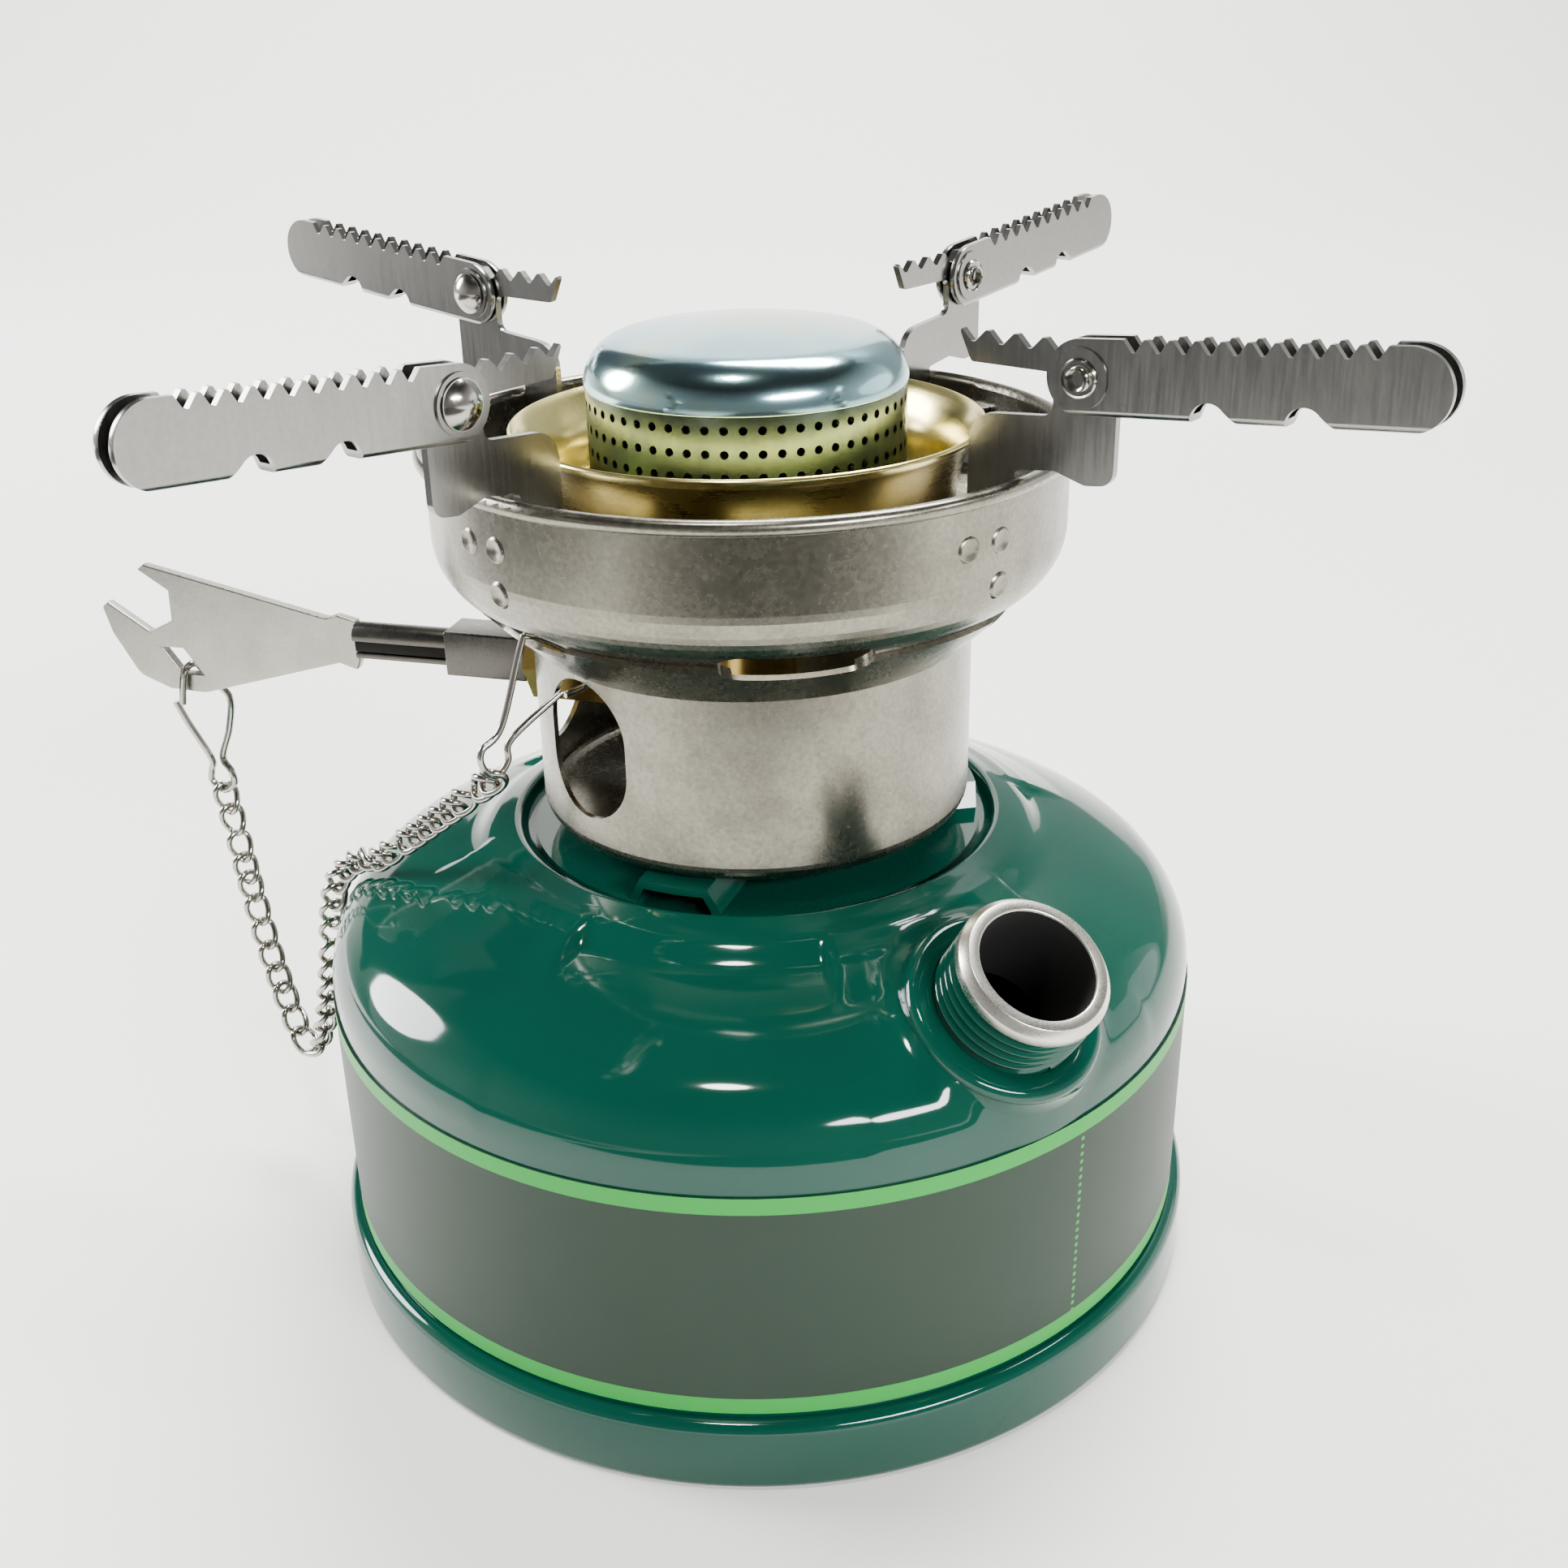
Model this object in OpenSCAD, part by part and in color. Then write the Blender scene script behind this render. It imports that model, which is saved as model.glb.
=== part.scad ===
// Petrol camping stove: enamelled tank, drawn windshield, spread burner, four folding pot arms
// and a spindle key that hangs on a chain. Millimetres, +Z up, origin on the stove's axis at the
// plane that it stands on. Azimuths are counted anticlockwise from +X, seen from above.

/* [Tank] */
// Outer radius of the tank's side wall
tank_r = 62; // [56:0.5:72]
// Height at which the side wall turns into the dome
tank_side_top = 46.7; // [40:0.1:54]
// Radius of the tank's shoulder
shoulder_r = 12; // [9:0.5:15]
// Radius of the dome's crown
crown_r = 55.3; // [50:0.1:62]
// Distance from the stove's axis to the centre of the crown's curve
crown_centre_r = 28; // [26:0.5:30]
// Sheet thickness of the tank and its base
tank_sheet = 0.8; // [0.6:0.1:1.2]
// Radius at which the collar leaves the dome
collar_foot_r = 41; // [40:0.5:44]
// Height of the collar's crest above the dome at the collar's foot
collar_h = 3.9; // [3:0.1:5]
// Radius at which the collar's flares leave the dome
flare_r = 46.5; // [44:0.5:48]
// Azimuth at which the first of four flares starts, between two pressed flats
flare_az = -83; // [-90:1:-70]
// Angle that each flare takes up
flare_angle = 43; // [30:1:60]
// Width of the collar's rounded crest
crest_w = 1.6; // [1.4:0.1:2]
// Radius of the well's wall inside the collar
well_r = 33.6; // [33:0.1:35]
// Depth of the well's floor below the collar's crest
well_depth = 2.5; // [2:0.1:4]
// Corner radius of the well's floor
well_corner = 1.6; // [1.2:0.1:2]
// How far the base skirt stands out from the side wall
base_step = 2; // [1.5:0.1:4]
// Height of the base skirt
base_skirt_h = 10.6; // [8:0.1:11]
// Gap between the skirt's lip and the side wall
skirt_gap = 0.2; // [0.1:0.05:0.4]
// Corner radius of the foot
foot_corner = 1.4; // [1:0.1:2]
// Width of the ring that the stove stands on
foot_w = 3.6; // [3:0.1:6]
// Height of the dished bottom above the foot
base_dish_h = 2.2; // [1.5:0.1:4]

/* [Label] */
// Height of the label's lower edge
label_bottom = 11.4; // [11.2:0.1:14]
// Height of the label's upper edge
label_top = 44.7; // [36:0.1:46]
// Thickness of the label film
label_t = 0.25; // [0.15:0.05:0.5]

/* [Filler neck] */
// Azimuth of the neck
neck_az = -61; // [-75:1:-50]
// Distance from the side wall in to the point where the neck's axis leaves the dome
neck_inset = 8.8; // [7:0.1:12]
// Tilt of the neck from the vertical
neck_tilt = 33; // [26:1:36]
// Length of the neck above the dome
neck_len = 11; // [8:0.5:16]
// Outer diameter of the neck's thread
neck_od = 19.6; // [17:0.1:22]
// Bore of the neck
neck_bore = 15; // [12:0.1:16]
// Depth of the neck below the dome
neck_root = 4; // [3:0.5:6]
// Radial width of the pressed boss round the neck
neck_boss_w = 2.6; // [2:0.1:4]
// Height of that boss above the dome
neck_boss_h = 1.1; // [0.6:0.1:2]
// Bare machined rim above the thread
neck_rim_h = 2; // [1:0.1:3]
// Depth of the groove between boss and thread
neck_relief = 0.9; // [0.6:0.1:1.2]

/* [Carrier] */
// Sheet thickness of the carrier plate
carrier_t = 1.2; // [0.8:0.1:1.6]
// Azimuth of the first of three raised tabs
tab_az = -116; // [-125:1:-105]
// Width of a tab's flat top
tab_w = 9.5; // [8:0.1:12]
// Run of the sloped leg on each side of a tab
tab_leg = 2; // [1.5:0.1:3]
// Radius of the circle that the three screws are on
screw_circle_r = 24.4; // [23:0.1:25]
// Diameter of the screws
screw_d = 3; // [2:0.5:4]
// Height of a screw's head
screw_head_h = 1.8; // [1.4:0.1:2.4]
// Thread that shows below a nut
screw_tail = 0.6; // [0.3:0.1:1.5]
// Height of a nut
nut_h = 2; // [1.6:0.1:2.4]
// Radius of the hole in the carrier plate
carrier_hole_r = 12; // [11:0.5:14]

/* [Windshield] */
// Outer radius of the lower can
can_r = 30; // [28:0.5:32]
// Sheet thickness of can and bowl
shield_sheet = 0.7; // [0.5:0.1:1]
// Gap between the tank's collar crest and the can's floor
can_lift = 2; // [1.5:0.1:4]
// Height of the can's straight wall, floor to cone
can_h = 25.5; // [23:0.5:29]
// Corner radius of the can's floor
can_corner = 2.5; // [1.5:0.1:4]
// Radius of the seam between cone and bowl
seam_r = 37.5; // [36:0.1:39]
// Rise of the cone from can to seam
cone_h = 6.9; // [5:0.1:8]
// Lap of the bowl inside the cone
seam_lap = 2.4; // [1.5:0.1:3]
// Outer radius of the bowl's wall
bowl_r = 42.1; // [40:0.1:46]
// Height of the bowl from seam to rim
bowl_h = 19.8; // [17:0.1:24]
// Corner radius at the bowl's bottom
bowl_corner = 8.3; // [6:0.1:9]
// Radius of the bead rolled on the rim
rim_bead_r = 1; // [0.8:0.1:1.6]
// Width of an air window in the can
window_w = 15; // [10:0.5:17]
// Height of an air window
window_h = 19.2; // [17:0.1:20]
// Strip of wall between a window and the cone
window_edge = 0.5; // [0.3:0.1:1]
// Angle between neighbouring air windows
window_step = 58; // [50:1:65]
// Number of air slots round the seam
slot_count = 6; // [4:1:8]
// Azimuth of the front air slot
slot_az = -87; // [-95:1:-80]
// Length of an air slot
slot_len = 19; // [14:0.5:22]
// Height of an air slot along the sheet
slot_w = 6; // [4:0.1:7]

/* [Burner] */
// Radius of the brass cup's rim
cup_rim_r = 31.3; // [29:0.1:33]
// Radius of the cup's wall
cup_wall_r = 27.6; // [25:0.1:28.5]
// Height of the cup's rim above the bowl's rim
cup_rim_rise = 1; // [0.5:0.1:4]
// Depth of the cup
cup_depth = 12.7; // [10:0.1:13.5]
// Corner radius of the cup's floor
cup_turn = 4; // [3:0.1:5]
// Height of the cup's flared lip
cup_lip_h = 6; // [4:0.1:7]
// Sheet thickness of the cup
cup_sheet = 0.6; // [0.4:0.1:1]
// Outer radius of the perforated sleeve
sleeve_r = 20.9; // [18:0.1:22]
// Sheet thickness of the sleeve and the cap
head_sheet = 0.6; // [0.4:0.1:0.8]
// Height of the sleeve that shows below the cap
sleeve_h = 17.2; // [15:0.1:20]
// Rows of gas holes
hole_rows = 3; // [1:1:4]
// Gas holes in a row
hole_count = 56; // [24:4:64]
// Diameter of a gas hole
hole_d = 1.1; // [0.8:0.1:1.4]
// Distance between rows of gas holes
hole_row_step = 2.9; // [2.4:0.1:4]
// Distance from the cap's edge to the first row of gas holes
row_edge = 1.6; // [1.2:0.1:2]
// How far the cap's edge stands out from the sleeve
cap_lip = 0.2; // [0.1:0.05:0.6]
// Height of the cap
cap_h = 7.5; // [7:0.1:11]
// Corner radius of the cap
cap_corner = 6; // [3:0.1:6.2]
// Crown of the cap's top
cap_crown = 1.2; // [0.5:0.1:2]
// Outer radius of the stem that carries the cup
stem_r = 7.2; // [6.5:0.1:8]
// Wall of the stem
stem_wall = 1; // [0.8:0.1:1.6]
// Height of the stem inside the cup
stem_rise = 2.4; // [1.5:0.1:3]
// Width of the lip that the cup rests on
stem_lip = 2.4; // [1.5:0.1:3]
// Thickness of that lip
stem_lip_h = 1.2; // [0.8:0.1:1.6]
// Width of an air port in the stem
port_w = 4.4; // [3.5:0.1:5]

/* [Valve] */
// Azimuth of the spindle
spindle_az = 159; // [150:1:165]
// Height of the spindle's axis above the can's floor
spindle_up = 18; // [16:0.1:19]
// Diameter of the spindle
spindle_d = 4; // [3:0.1:5]
// Radial clearance of the spindle in its bores
spindle_fit = 0.06; // [0.02:0.01:0.1]
// Side of the square end that the key fits
square_a = 3; // [2.5:0.1:3.4]
// Length of the square end
square_len = 9; // [7:0.5:11]
// Outer radius of the valve body's column
column_r = 6; // [5.5:0.1:7]
// Rise of the column above the can's wall
column_rise = 1; // [0.5:0.1:2]
// Lip of the hexagon at the column's foot
hex_lip = 3.4; // [3:0.1:4]
// Height of that hexagon
hex_h = 3; // [2.5:0.1:4]
// Radius of the spigot that the burner's stem is pressed on
spigot_r = 4.6; // [4.2:0.1:5]
// Height of the spigot
spigot_h = 4; // [3:0.1:5]
// Radius of the gas bore
gas_bore_r = 1.4; // [1:0.1:1.6]
// Depth of the riser's socket above the hexagon
riser_socket = 6; // [4:0.5:7]
// Outer radius of the side boss
boss_r = 5; // [4.6:0.1:5.4]
// Distance from the axis to the end of the side boss
boss_end = 24; // [22:0.5:26]
// Distance across the flats of the gland nut
gland_af = 11; // [10.8:0.1:12]
// Distance from the axis to the outer end of the gland nut
gland_end = 32; // [31:0.5:34]
// Lap of the gland nut over the boss
gland_lap = 6; // [4:0.5:7]
// Length of the packing
packing_len = 4; // [3:0.5:5]
// Outer radius of the packing ring
packing_r = 3.4; // [3:0.1:3.6]
// Outer radius of the riser tube
riser_r = 4.5; // [4:0.1:5]
// Wall of the riser tube
riser_wall = 0.9; // [0.6:0.1:1.2]
// Clearance of the riser above the tank's bottom
riser_clear = 3; // [2:0.5:8]
// Thickness of the riser's gasket
gasket_t = 1; // [0.6:0.1:1.6]
// Width of the riser's gasket
gasket_w = 4; // [3:0.1:4.4]
// Height of the jet above the valve body
jet_h = 5; // [4:0.1:6]
// Radius of the jet's hexagon
jet_hex_r = 3.6; // [3:0.1:4]
// Radius of the jet's tip
jet_tip_r = 2.2; // [1.8:0.1:2.6]
// Radius of the jet's bore
jet_bore_r = 0.6; // [0.4:0.1:0.8]
// Radius of the spindle's needle point
needle_r = 0.6; // [0.4:0.1:0.8]
// Length of the needle
needle_len = 2; // [1.5:0.1:3]

/* [Pot supports] */
// Azimuth of the first pot support
arm_az = -45; // [-60:1:-30]
// How far the pivots stand out from the bowl's wall
pivot_out = 7.9; // [7:0.1:12]
// Height of the pivots above the bowl's rim
pivot_up = 12.7; // [12:0.1:16]
// Length of an arm from pivot to tip
arm_len = 41.5; // [36:0.5:43]
// Height of an arm
arm_h = 8.7; // [8:0.1:10]
// Angle of an open arm above the horizontal
arm_rise = 5; // [0:1:8]
// Sheet thickness of an arm
arm_sheet = 0.8; // [0.6:0.1:1]
// Sheet thickness of a bracket
bracket_t = 1; // [0.8:0.1:1.4]
// Side clearance of a bracket in its arm
arm_side_gap = 0.35; // [0.3:0.05:0.6]
// Clearance between a bracket's post and the web of a folding arm
fold_gap = 0.15; // [0.1:0.05:0.3]
// Radius of the raised pad round a pivot
pad_r = 3.5; // [3:0.1:4]
// Height of that pad
pad_h = 0.3; // [0.2:0.1:0.5]
// Distance between teeth
tooth_pitch = 3; // [2.4:0.1:4]
// Depth of a tooth
tooth_depth = 1.4; // [1:0.1:2]
// Flat land on a tooth, and at the foot of a gap
tooth_land = 0.5; // [0.3:0.1:0.8]
// Teeth on an arm
arm_teeth = 10; // [6:1:10]
// Gaps between the teeth of a bracket's blade
blade_teeth = 4; // [3:1:4]
// Distance between teeth of a bracket's blade
blade_pitch = 3.8; // [3:0.1:4]
// Radius of the half-round notches under an arm
notch_r = 2.2; // [1.5:0.1:2.6]
// Distance from the pivot to the first notch
notch_first = 15.4; // [13:0.1:17]
// Distance between the two notches
notch_step = 10.8; // [9:0.1:12]
// Shank radius of a rivet
rivet_r = 1.5; // [1.2:0.1:1.8]
// Running clearance of a rivet in its arm
rivet_fit = 0.05; // [0.02:0.01:0.1]
// Head radius of a rivet
rivet_head_r = 2.9; // [2.6:0.1:3.4]
// Height of a rivet's domed head
rivet_head_h = 1.5; // [1:0.1:2]
// Radius of the eyelet rolled on a rivet's other end
eyelet_r = 2.3; // [2:0.1:2.6]
// Height of that eyelet
eyelet_h = 0.9; // [0.6:0.1:1.2]
// Wall of the eyelet
eyelet_wall = 0.6; // [0.4:0.1:0.8]
// Length of a bracket's inner blade, from the pivot
blade_len = 17; // [14:0.5:19]
// Depth of a blade
blade_h = 3.7; // [3.4:0.1:4.4]
// Width of a bracket's flange along the bowl's wall
flange_w = 12.5; // [10:0.5:16]
// Height of that flange
flange_h = 8.6; // [7:0.1:9]
// Distance from the bowl's rim down to the flange
flange_drop = 3.4; // [2.5:0.1:4]
// Half width of a bracket's post
post_half = 4; // [3.5:0.1:4.4]
// Distance from the pivot down to the top of a bracket's lobe
lobe_drop = 6; // [5:0.1:7]
// How far the lobe stands back from the blade's end
lobe_step = 1.7; // [1:0.1:3]
// Clearance between a bracket and the bowl's rim
rim_gap = 0.7; // [0.5:0.1:1.5]

/* [Key] */
// Thickness of the key's blade
key_t = 1.6; // [1.2:0.1:2]
// Outer size of the key's square socket
socket_a = 6.8; // [6:0.1:8]
// Length of the socket
socket_len = 12.4; // [11:0.1:14]
// Length of the folded shank beyond the socket
shank_len = 15; // [12:0.5:20]
// Height of the folded shank
shank_h = 5.5; // [5:0.1:6]
// Sheet thickness of the folded shank
shank_sheet = 1; // [0.8:0.1:1.2]
// How far the key's tip stands out from the tank's side wall
key_reach = 40.5; // [36:0.1:46]
// Height of the key's head
key_head_h = 20; // [18:0.1:24]
// Height of the upper jaw above the key's axis
jaw_up = 9.4; // [8:0.1:11]
// Opening of the spanner jaw
jaw_w = 8; // [6:0.1:9]
// Angle of the jaw from the key's axis
jaw_angle = 33; // [25:1:40]
// Width of the eye that the clip hangs in
eye_w = 3.6; // [3:0.1:4.2]
// Height of the eye
eye_h = 4; // [3.4:0.1:4.6]
// Lean of the eye's sides
eye_lean = 2.8; // [2:0.1:3.4]
// Clearance between the gland nut and the key's socket
socket_gap = 0.8; // [0.5:0.1:2]
// Clearance of the square end in the socket
square_fit = 0.15; // [0.05:0.05:0.3]

/* [Chain] */
// Wire diameter of a chain link
link_wire = 0.8; // [0.6:0.05:0.9]
// Outer length of a chain link
link_len = 6; // [5.9:0.1:6.4]
// Outer width of a chain link
link_w = 4; // [3.6:0.1:4.4]
// Distance from link to link
link_pitch = 3.95; // [3.9:0.05:4.1]
// Wire diameter of the two clips
clip_wire = 0.9; // [0.7:0.05:1.1]
// Drop of the key's clip below the eye
clip_drop = 20.6; // [18:0.1:24]
// Drop of the can's clip below the can's cone
hook_drop = 11; // [9:0.1:13]
// Height of the chain's middle above the tank where it rests
chain_rest = 3.7; // [3:0.1:5]
// Depth of the chain's bight below the key's clip
bight_drop = 41.4; // [34:0.1:44]

/* [Hidden] */
$fn = 48;

// Seating gap between curved pieces that are pressed or stacked together
seat = 0.05;
// Gap round a piece that only passes another
loose = 0.3;
// Overrun of a cutting tool past the face that it cuts
over = 1;
// Points on a rounded corner
corner_steps = 5;

// Dome: a shoulder arc and a crown arc that meet without a crease
shoulder_c = [tank_r - shoulder_r, tank_side_top];
crown_c = [crown_centre_r,
           tank_side_top - sqrt(pow(crown_r - shoulder_r, 2) - pow(tank_r - shoulder_r - crown_centre_r, 2))];
shoulder_turn = atan2(shoulder_c[1] - crown_c[1], shoulder_c[0] - crown_c[0]);
crown_turn = acos((collar_foot_r - crown_centre_r) / crown_r);

neck_base_r = tank_r - neck_inset;

function dome_z(r) =
    r > shoulder_c[0] + shoulder_r * cos(shoulder_turn)
        ? shoulder_c[1] + sqrt(pow(shoulder_r, 2) - pow(r - shoulder_c[0], 2))
        : crown_c[1] + sqrt(pow(crown_r, 2) - pow(r - crown_c[0], 2));

// Heights of the stack, from the tank upwards
collar_foot_z = dome_z(collar_foot_r);
collar_z = collar_foot_z + collar_h;
well_floor_z = collar_z - well_depth;
can_floor_z = collar_z + can_lift;
can_top_z = can_floor_z + can_h;
seam_z = can_top_z + cone_h;
rim_z = seam_z + bowl_h;
cup_rim_z = rim_z + cup_rim_rise;
cup_floor_z = cup_rim_z - cup_depth;
sleeve_top_z = cup_floor_z + cup_sheet + sleeve_h;
cap_top_z = sleeve_top_z + cap_h;
spindle_z = can_floor_z + spindle_up;
pivot_z = rim_z + pivot_up;
pivot_r = bowl_r + pivot_out;

// Cone of the windshield
cone_angle = atan2(cone_h, seam_r - can_r);
cone_dir = [cos(cone_angle), sin(cone_angle)];
cone_in = [-sin(cone_angle), cos(cone_angle)];

function unit(v) = v / norm(v);
function reversed(p) = [for (i = [len(p) - 1 : -1 : 0]) p[i]];
function arc(c, r, a0, a1, n = 10) =
    [for (i = [0 : n]) c + r * [cos(a0 + (a1 - a0) * i / n), sin(a0 + (a1 - a0) * i / n)]];

// Left-hand normal of the path at point i, stretched so that parallel walls keep their distance
function path_normal(p, i) =
    let (a = unit(p[i] - p[max(i - 1, 0)] + (i == 0 ? p[1] - p[0] : [0, 0])),
         b = unit(p[min(i + 1, len(p) - 1)] - p[i] + (i == len(p) - 1 ? p[i] - p[i - 1] : [0, 0])),
         m = unit(a + b))
    [-m[1], m[0]] / max(0.5, m * a);

// Closed outline of a sheet of thickness t on the left of a path
function sheet_outline(p, t) =
    concat(p, reversed([for (i = [0 : len(p) - 1]) p[i] + t * path_normal(p, i)]));

// Outline with rounded corners: each vertex is [x, y, corner radius]
function rounded(v) =
    [for (i = [0 : len(v) - 1])
        let (p = [v[i][0], v[i][1]],
             q = v[(i + len(v) - 1) % len(v)],
             s = v[(i + 1) % len(v)],
             a = unit([q[0], q[1]] - p),
             b = unit([s[0], s[1]] - p),
             half = acos(max(-1, min(1, a * b))) / 2,
             c = p + unit(a + b) * v[i][2] / sin(half),
             a0 = atan2((p + a * v[i][2] / tan(half) - c)[1], (p + a * v[i][2] / tan(half) - c)[0]),
             a1 = atan2((p + b * v[i][2] / tan(half) - c)[1], (p + b * v[i][2] / tan(half) - c)[0]),
             turn = a1 - a0 > 180 ? a1 - a0 - 360 : a1 - a0 < -180 ? a1 - a0 + 360 : a1 - a0)
        each v[i][2] == 0 ? [p] : arc(c, v[i][2], a0, a0 + turn, corner_steps)];

module revolve_sheet(path, t) {
    rotate_extrude($fn = 96)
        polygon([for (q = sheet_outline(path, t)) [max(0, q[0]), q[1]]]);
}

module stadium(length, width) {
    square([length - width, width], center = true);
    for (side = [-1, 1])
        translate([side * (length - width) / 2, 0])
            circle(d = width);
}

module ring(r_out, r_in, h) {
    difference() {
        cylinder(r = r_out, h = h);
        translate([0, 0, -over])
            cylinder(r = r_in, h = h + 2 * over);
    }
}

// Frame with its origin where the neck's axis leaves the dome and Z along the neck
module at_neck() {
    rotate([0, 0, neck_az])
        translate([neck_base_r, 0, dome_z(neck_base_r)])
            rotate([0, neck_tilt, 0])
                children();
}

// Frame with X along the spindle, outwards
module at_spindle() {
    rotate([0, 0, spindle_az])
        translate([0, 0, spindle_z])
            children();
}

// Cylinder along X, from x0 to x1
module rod_x(r, x0, x1) {
    translate([x0, 0, 0])
        rotate([0, 90, 0])
            cylinder(r = r, h = x1 - x0);
}

// TANK

riser_hole_r = riser_r + loose;
boss_neck_r = neck_od / 2 + neck_boss_w;
crest_c = [well_r + crest_w / 2, collar_z - crest_w / 2];
collar_knee = [(collar_foot_r + well_r + crest_w) / 2, collar_z - collar_h / 3];

function tank_path() = concat(
    [[tank_r, tank_sheet]],
    arc(shoulder_c, shoulder_r, 0, shoulder_turn, 12),
    arc(crown_c, crown_r, shoulder_turn, crown_turn, 8),
    [collar_knee],
    arc(crest_c, crest_w / 2, 60, 180, 6),
    arc([well_r - well_corner, well_floor_z + well_corner], well_corner, 0, -90, 5),
    [[riser_hole_r, well_floor_z]]);

// Flares of the collar: between them the dome runs on as four pressed flats
module collar_flares() {
    sink = [0, -tank_sheet / 2];
    foot = [collar_foot_r, collar_foot_z];
    edge = [flare_r, dome_z(flare_r)];
    for (i = [0 : 3])
        rotate([0, 0, flare_az + 90 * i])
            rotate_extrude(angle = flare_angle, $fn = 96)
                polygon([edge, collar_knee, collar_knee + sink, foot + sink, edge + sink]);
}

module tank_shell() {
    color("darkgreen")
    difference() {
        union() {
            revolve_sheet(tank_path(), tank_sheet);
            collar_flares();
            at_neck()
                translate([0, 0, -neck_boss_h - tank_sheet])
                    cylinder(r1 = boss_neck_r, r2 = boss_neck_r - neck_boss_h / 2,
                             h = 2 * neck_boss_h + tank_sheet);
        }
        at_neck()
            translate([0, 0, -neck_root - over])
                cylinder(r = neck_od / 2 + seat, h = neck_root + neck_len);
    }
}

base_r = tank_r + base_step;
skirt_roll = base_step - skirt_gap;

function base_path() = concat(
    arc([base_r - skirt_roll, base_skirt_h - skirt_roll], skirt_roll, 90, 0, 6),
    arc([base_r - foot_corner, foot_corner], foot_corner, 0, -90, 5),
    [[base_r - foot_corner - foot_w, 0],
     [base_r - foot_corner - foot_w - base_dish_h, base_dish_h],
     [0, base_dish_h]]);

module tank_base() {
    color("darkgreen")
    revolve_sheet(reversed(base_path()), tank_sheet);
}

module label_band() {
    color("darkolivegreen")
    translate([0, 0, label_bottom])
        ring(tank_r + seat + label_t, tank_r + seat, label_top - label_bottom);
}

module filler_neck() {
    color("silver")
    at_neck()
    difference() {
        rotate_extrude()
            polygon([[neck_bore / 2, -neck_root],
                     [neck_od / 2, -neck_root],
                     [neck_od / 2, neck_boss_h],
                     [neck_od / 2 - neck_relief, neck_boss_h + neck_relief],
                     [neck_od / 2, neck_boss_h + 2 * neck_relief],
                     [neck_od / 2, neck_len - neck_rim_h / 2],
                     [neck_od / 2 - neck_rim_h / 2, neck_len],
                     [neck_bore / 2, neck_len]]);
        translate([0, 0, -neck_root - over])
            cylinder(d = neck_bore, h = neck_root + neck_len + 2 * over);
    }
}

// CARRIER PLATE AND ITS SCREWS

carrier_r = well_r - well_corner - loose;
tab_out_r = carrier_r - loose;
tab_in_r = screw_circle_r - screw_d;
notch_half = tab_w / 2 + tab_leg - carrier_t - loose;

// Section of a raised tab: its legs stand half deep in the plate
function tab_profile() =
    let (half = tab_w / 2, foot = tab_w / 2 + tab_leg, low = well_floor_z + carrier_t / 2,
         under = can_floor_z - carrier_t, turn = carrier_t / 2)
    [[-foot, low], [-foot + carrier_t, low], [-half + turn, under], [half - turn, under],
     [foot - carrier_t, low], [foot, low], [half, can_floor_z], [-half, can_floor_z]];

module carrier_plate() {
    color("darkgreen")
    difference() {
        carrier_sheet();
        at_screws()
            translate([0, 0, can_floor_z - 2 * carrier_t])
                cylinder(r = screw_d / 2 + seat, h = 3 * carrier_t);
    }
}

module carrier_sheet() {
    union() {
        difference() {
            translate([0, 0, well_floor_z])
                ring(carrier_r, carrier_hole_r, carrier_t);
            for (i = [0 : 2])
                rotate([0, 0, tab_az + 120 * i])
                    translate([tab_in_r, -notch_half, well_floor_z - over])
                        cube([well_r, 2 * notch_half, carrier_t + 2 * over]);
        }
        for (i = [0 : 2])
            rotate([0, 0, tab_az + 120 * i])
                intersection() {
                    translate([tab_in_r, 0, 0])
                        rotate([90, 0, 90])
                            linear_extrude(well_r)
                                polygon(tab_profile());
                    cylinder(r = tab_out_r, h = can_floor_z + over);
                }
    }
}

screw_head_r = 0.9 * screw_d;
nut_r = screw_d;

module at_screws() {
    for (i = [0 : 2])
        rotate([0, 0, tab_az + 120 * i])
            translate([screw_circle_r, 0, 0])
                children();
}

module carrier_screws() {
    color("silver")
    at_screws() {
        translate([0, 0, can_floor_z + shield_sheet])
            cylinder(r = screw_head_r, h = screw_head_h);
        translate([0, 0, can_floor_z - carrier_t - nut_h - screw_tail])
            cylinder(d = screw_d, h = carrier_t + nut_h + screw_tail + shield_sheet + screw_head_h / 2);
    }
}

module carrier_nuts() {
    color("silver")
    at_screws()
        translate([0, 0, can_floor_z - carrier_t - nut_h])
            difference() {
                cylinder(r = nut_r, h = nut_h, $fn = 6);
                translate([0, 0, -over])
                    cylinder(r = screw_d / 2 + seat, h = nut_h + 2 * over);
            }
}

// WINDSHIELD

can_hole_r = column_r + hex_lip / 2;

function can_path() = concat(
    [[can_hole_r, can_floor_z]],
    arc([can_r - can_corner, can_floor_z + can_corner], can_corner, -90, 0, 6),
    [[can_r, can_top_z], [seam_r, seam_z]]);

module air_slots() {
    for (i = [0 : slot_count - 1])
        rotate([0, 0, slot_az + 360 / slot_count * i])
            translate([seam_r, 0, seam_z])
                rotate([0, 90 + cone_angle, 0])
                    translate([0, 0, -4 * shield_sheet])
                        linear_extrude(8 * shield_sheet)
                            rotate([0, 0, 90])
                                stadium(slot_len, slot_w);
}

window_z = can_top_z - window_h / 2 - window_edge;

module air_windows() {
    for (i = [-1 : 1])
        rotate([0, 0, spindle_az + window_step * i])
            translate([can_r / 2, 0, window_z])
                rotate([90, 0, 90])
                    linear_extrude(can_r)
                        rotate([0, 0, 90])
                            stadium(window_h, window_w);
}

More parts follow.
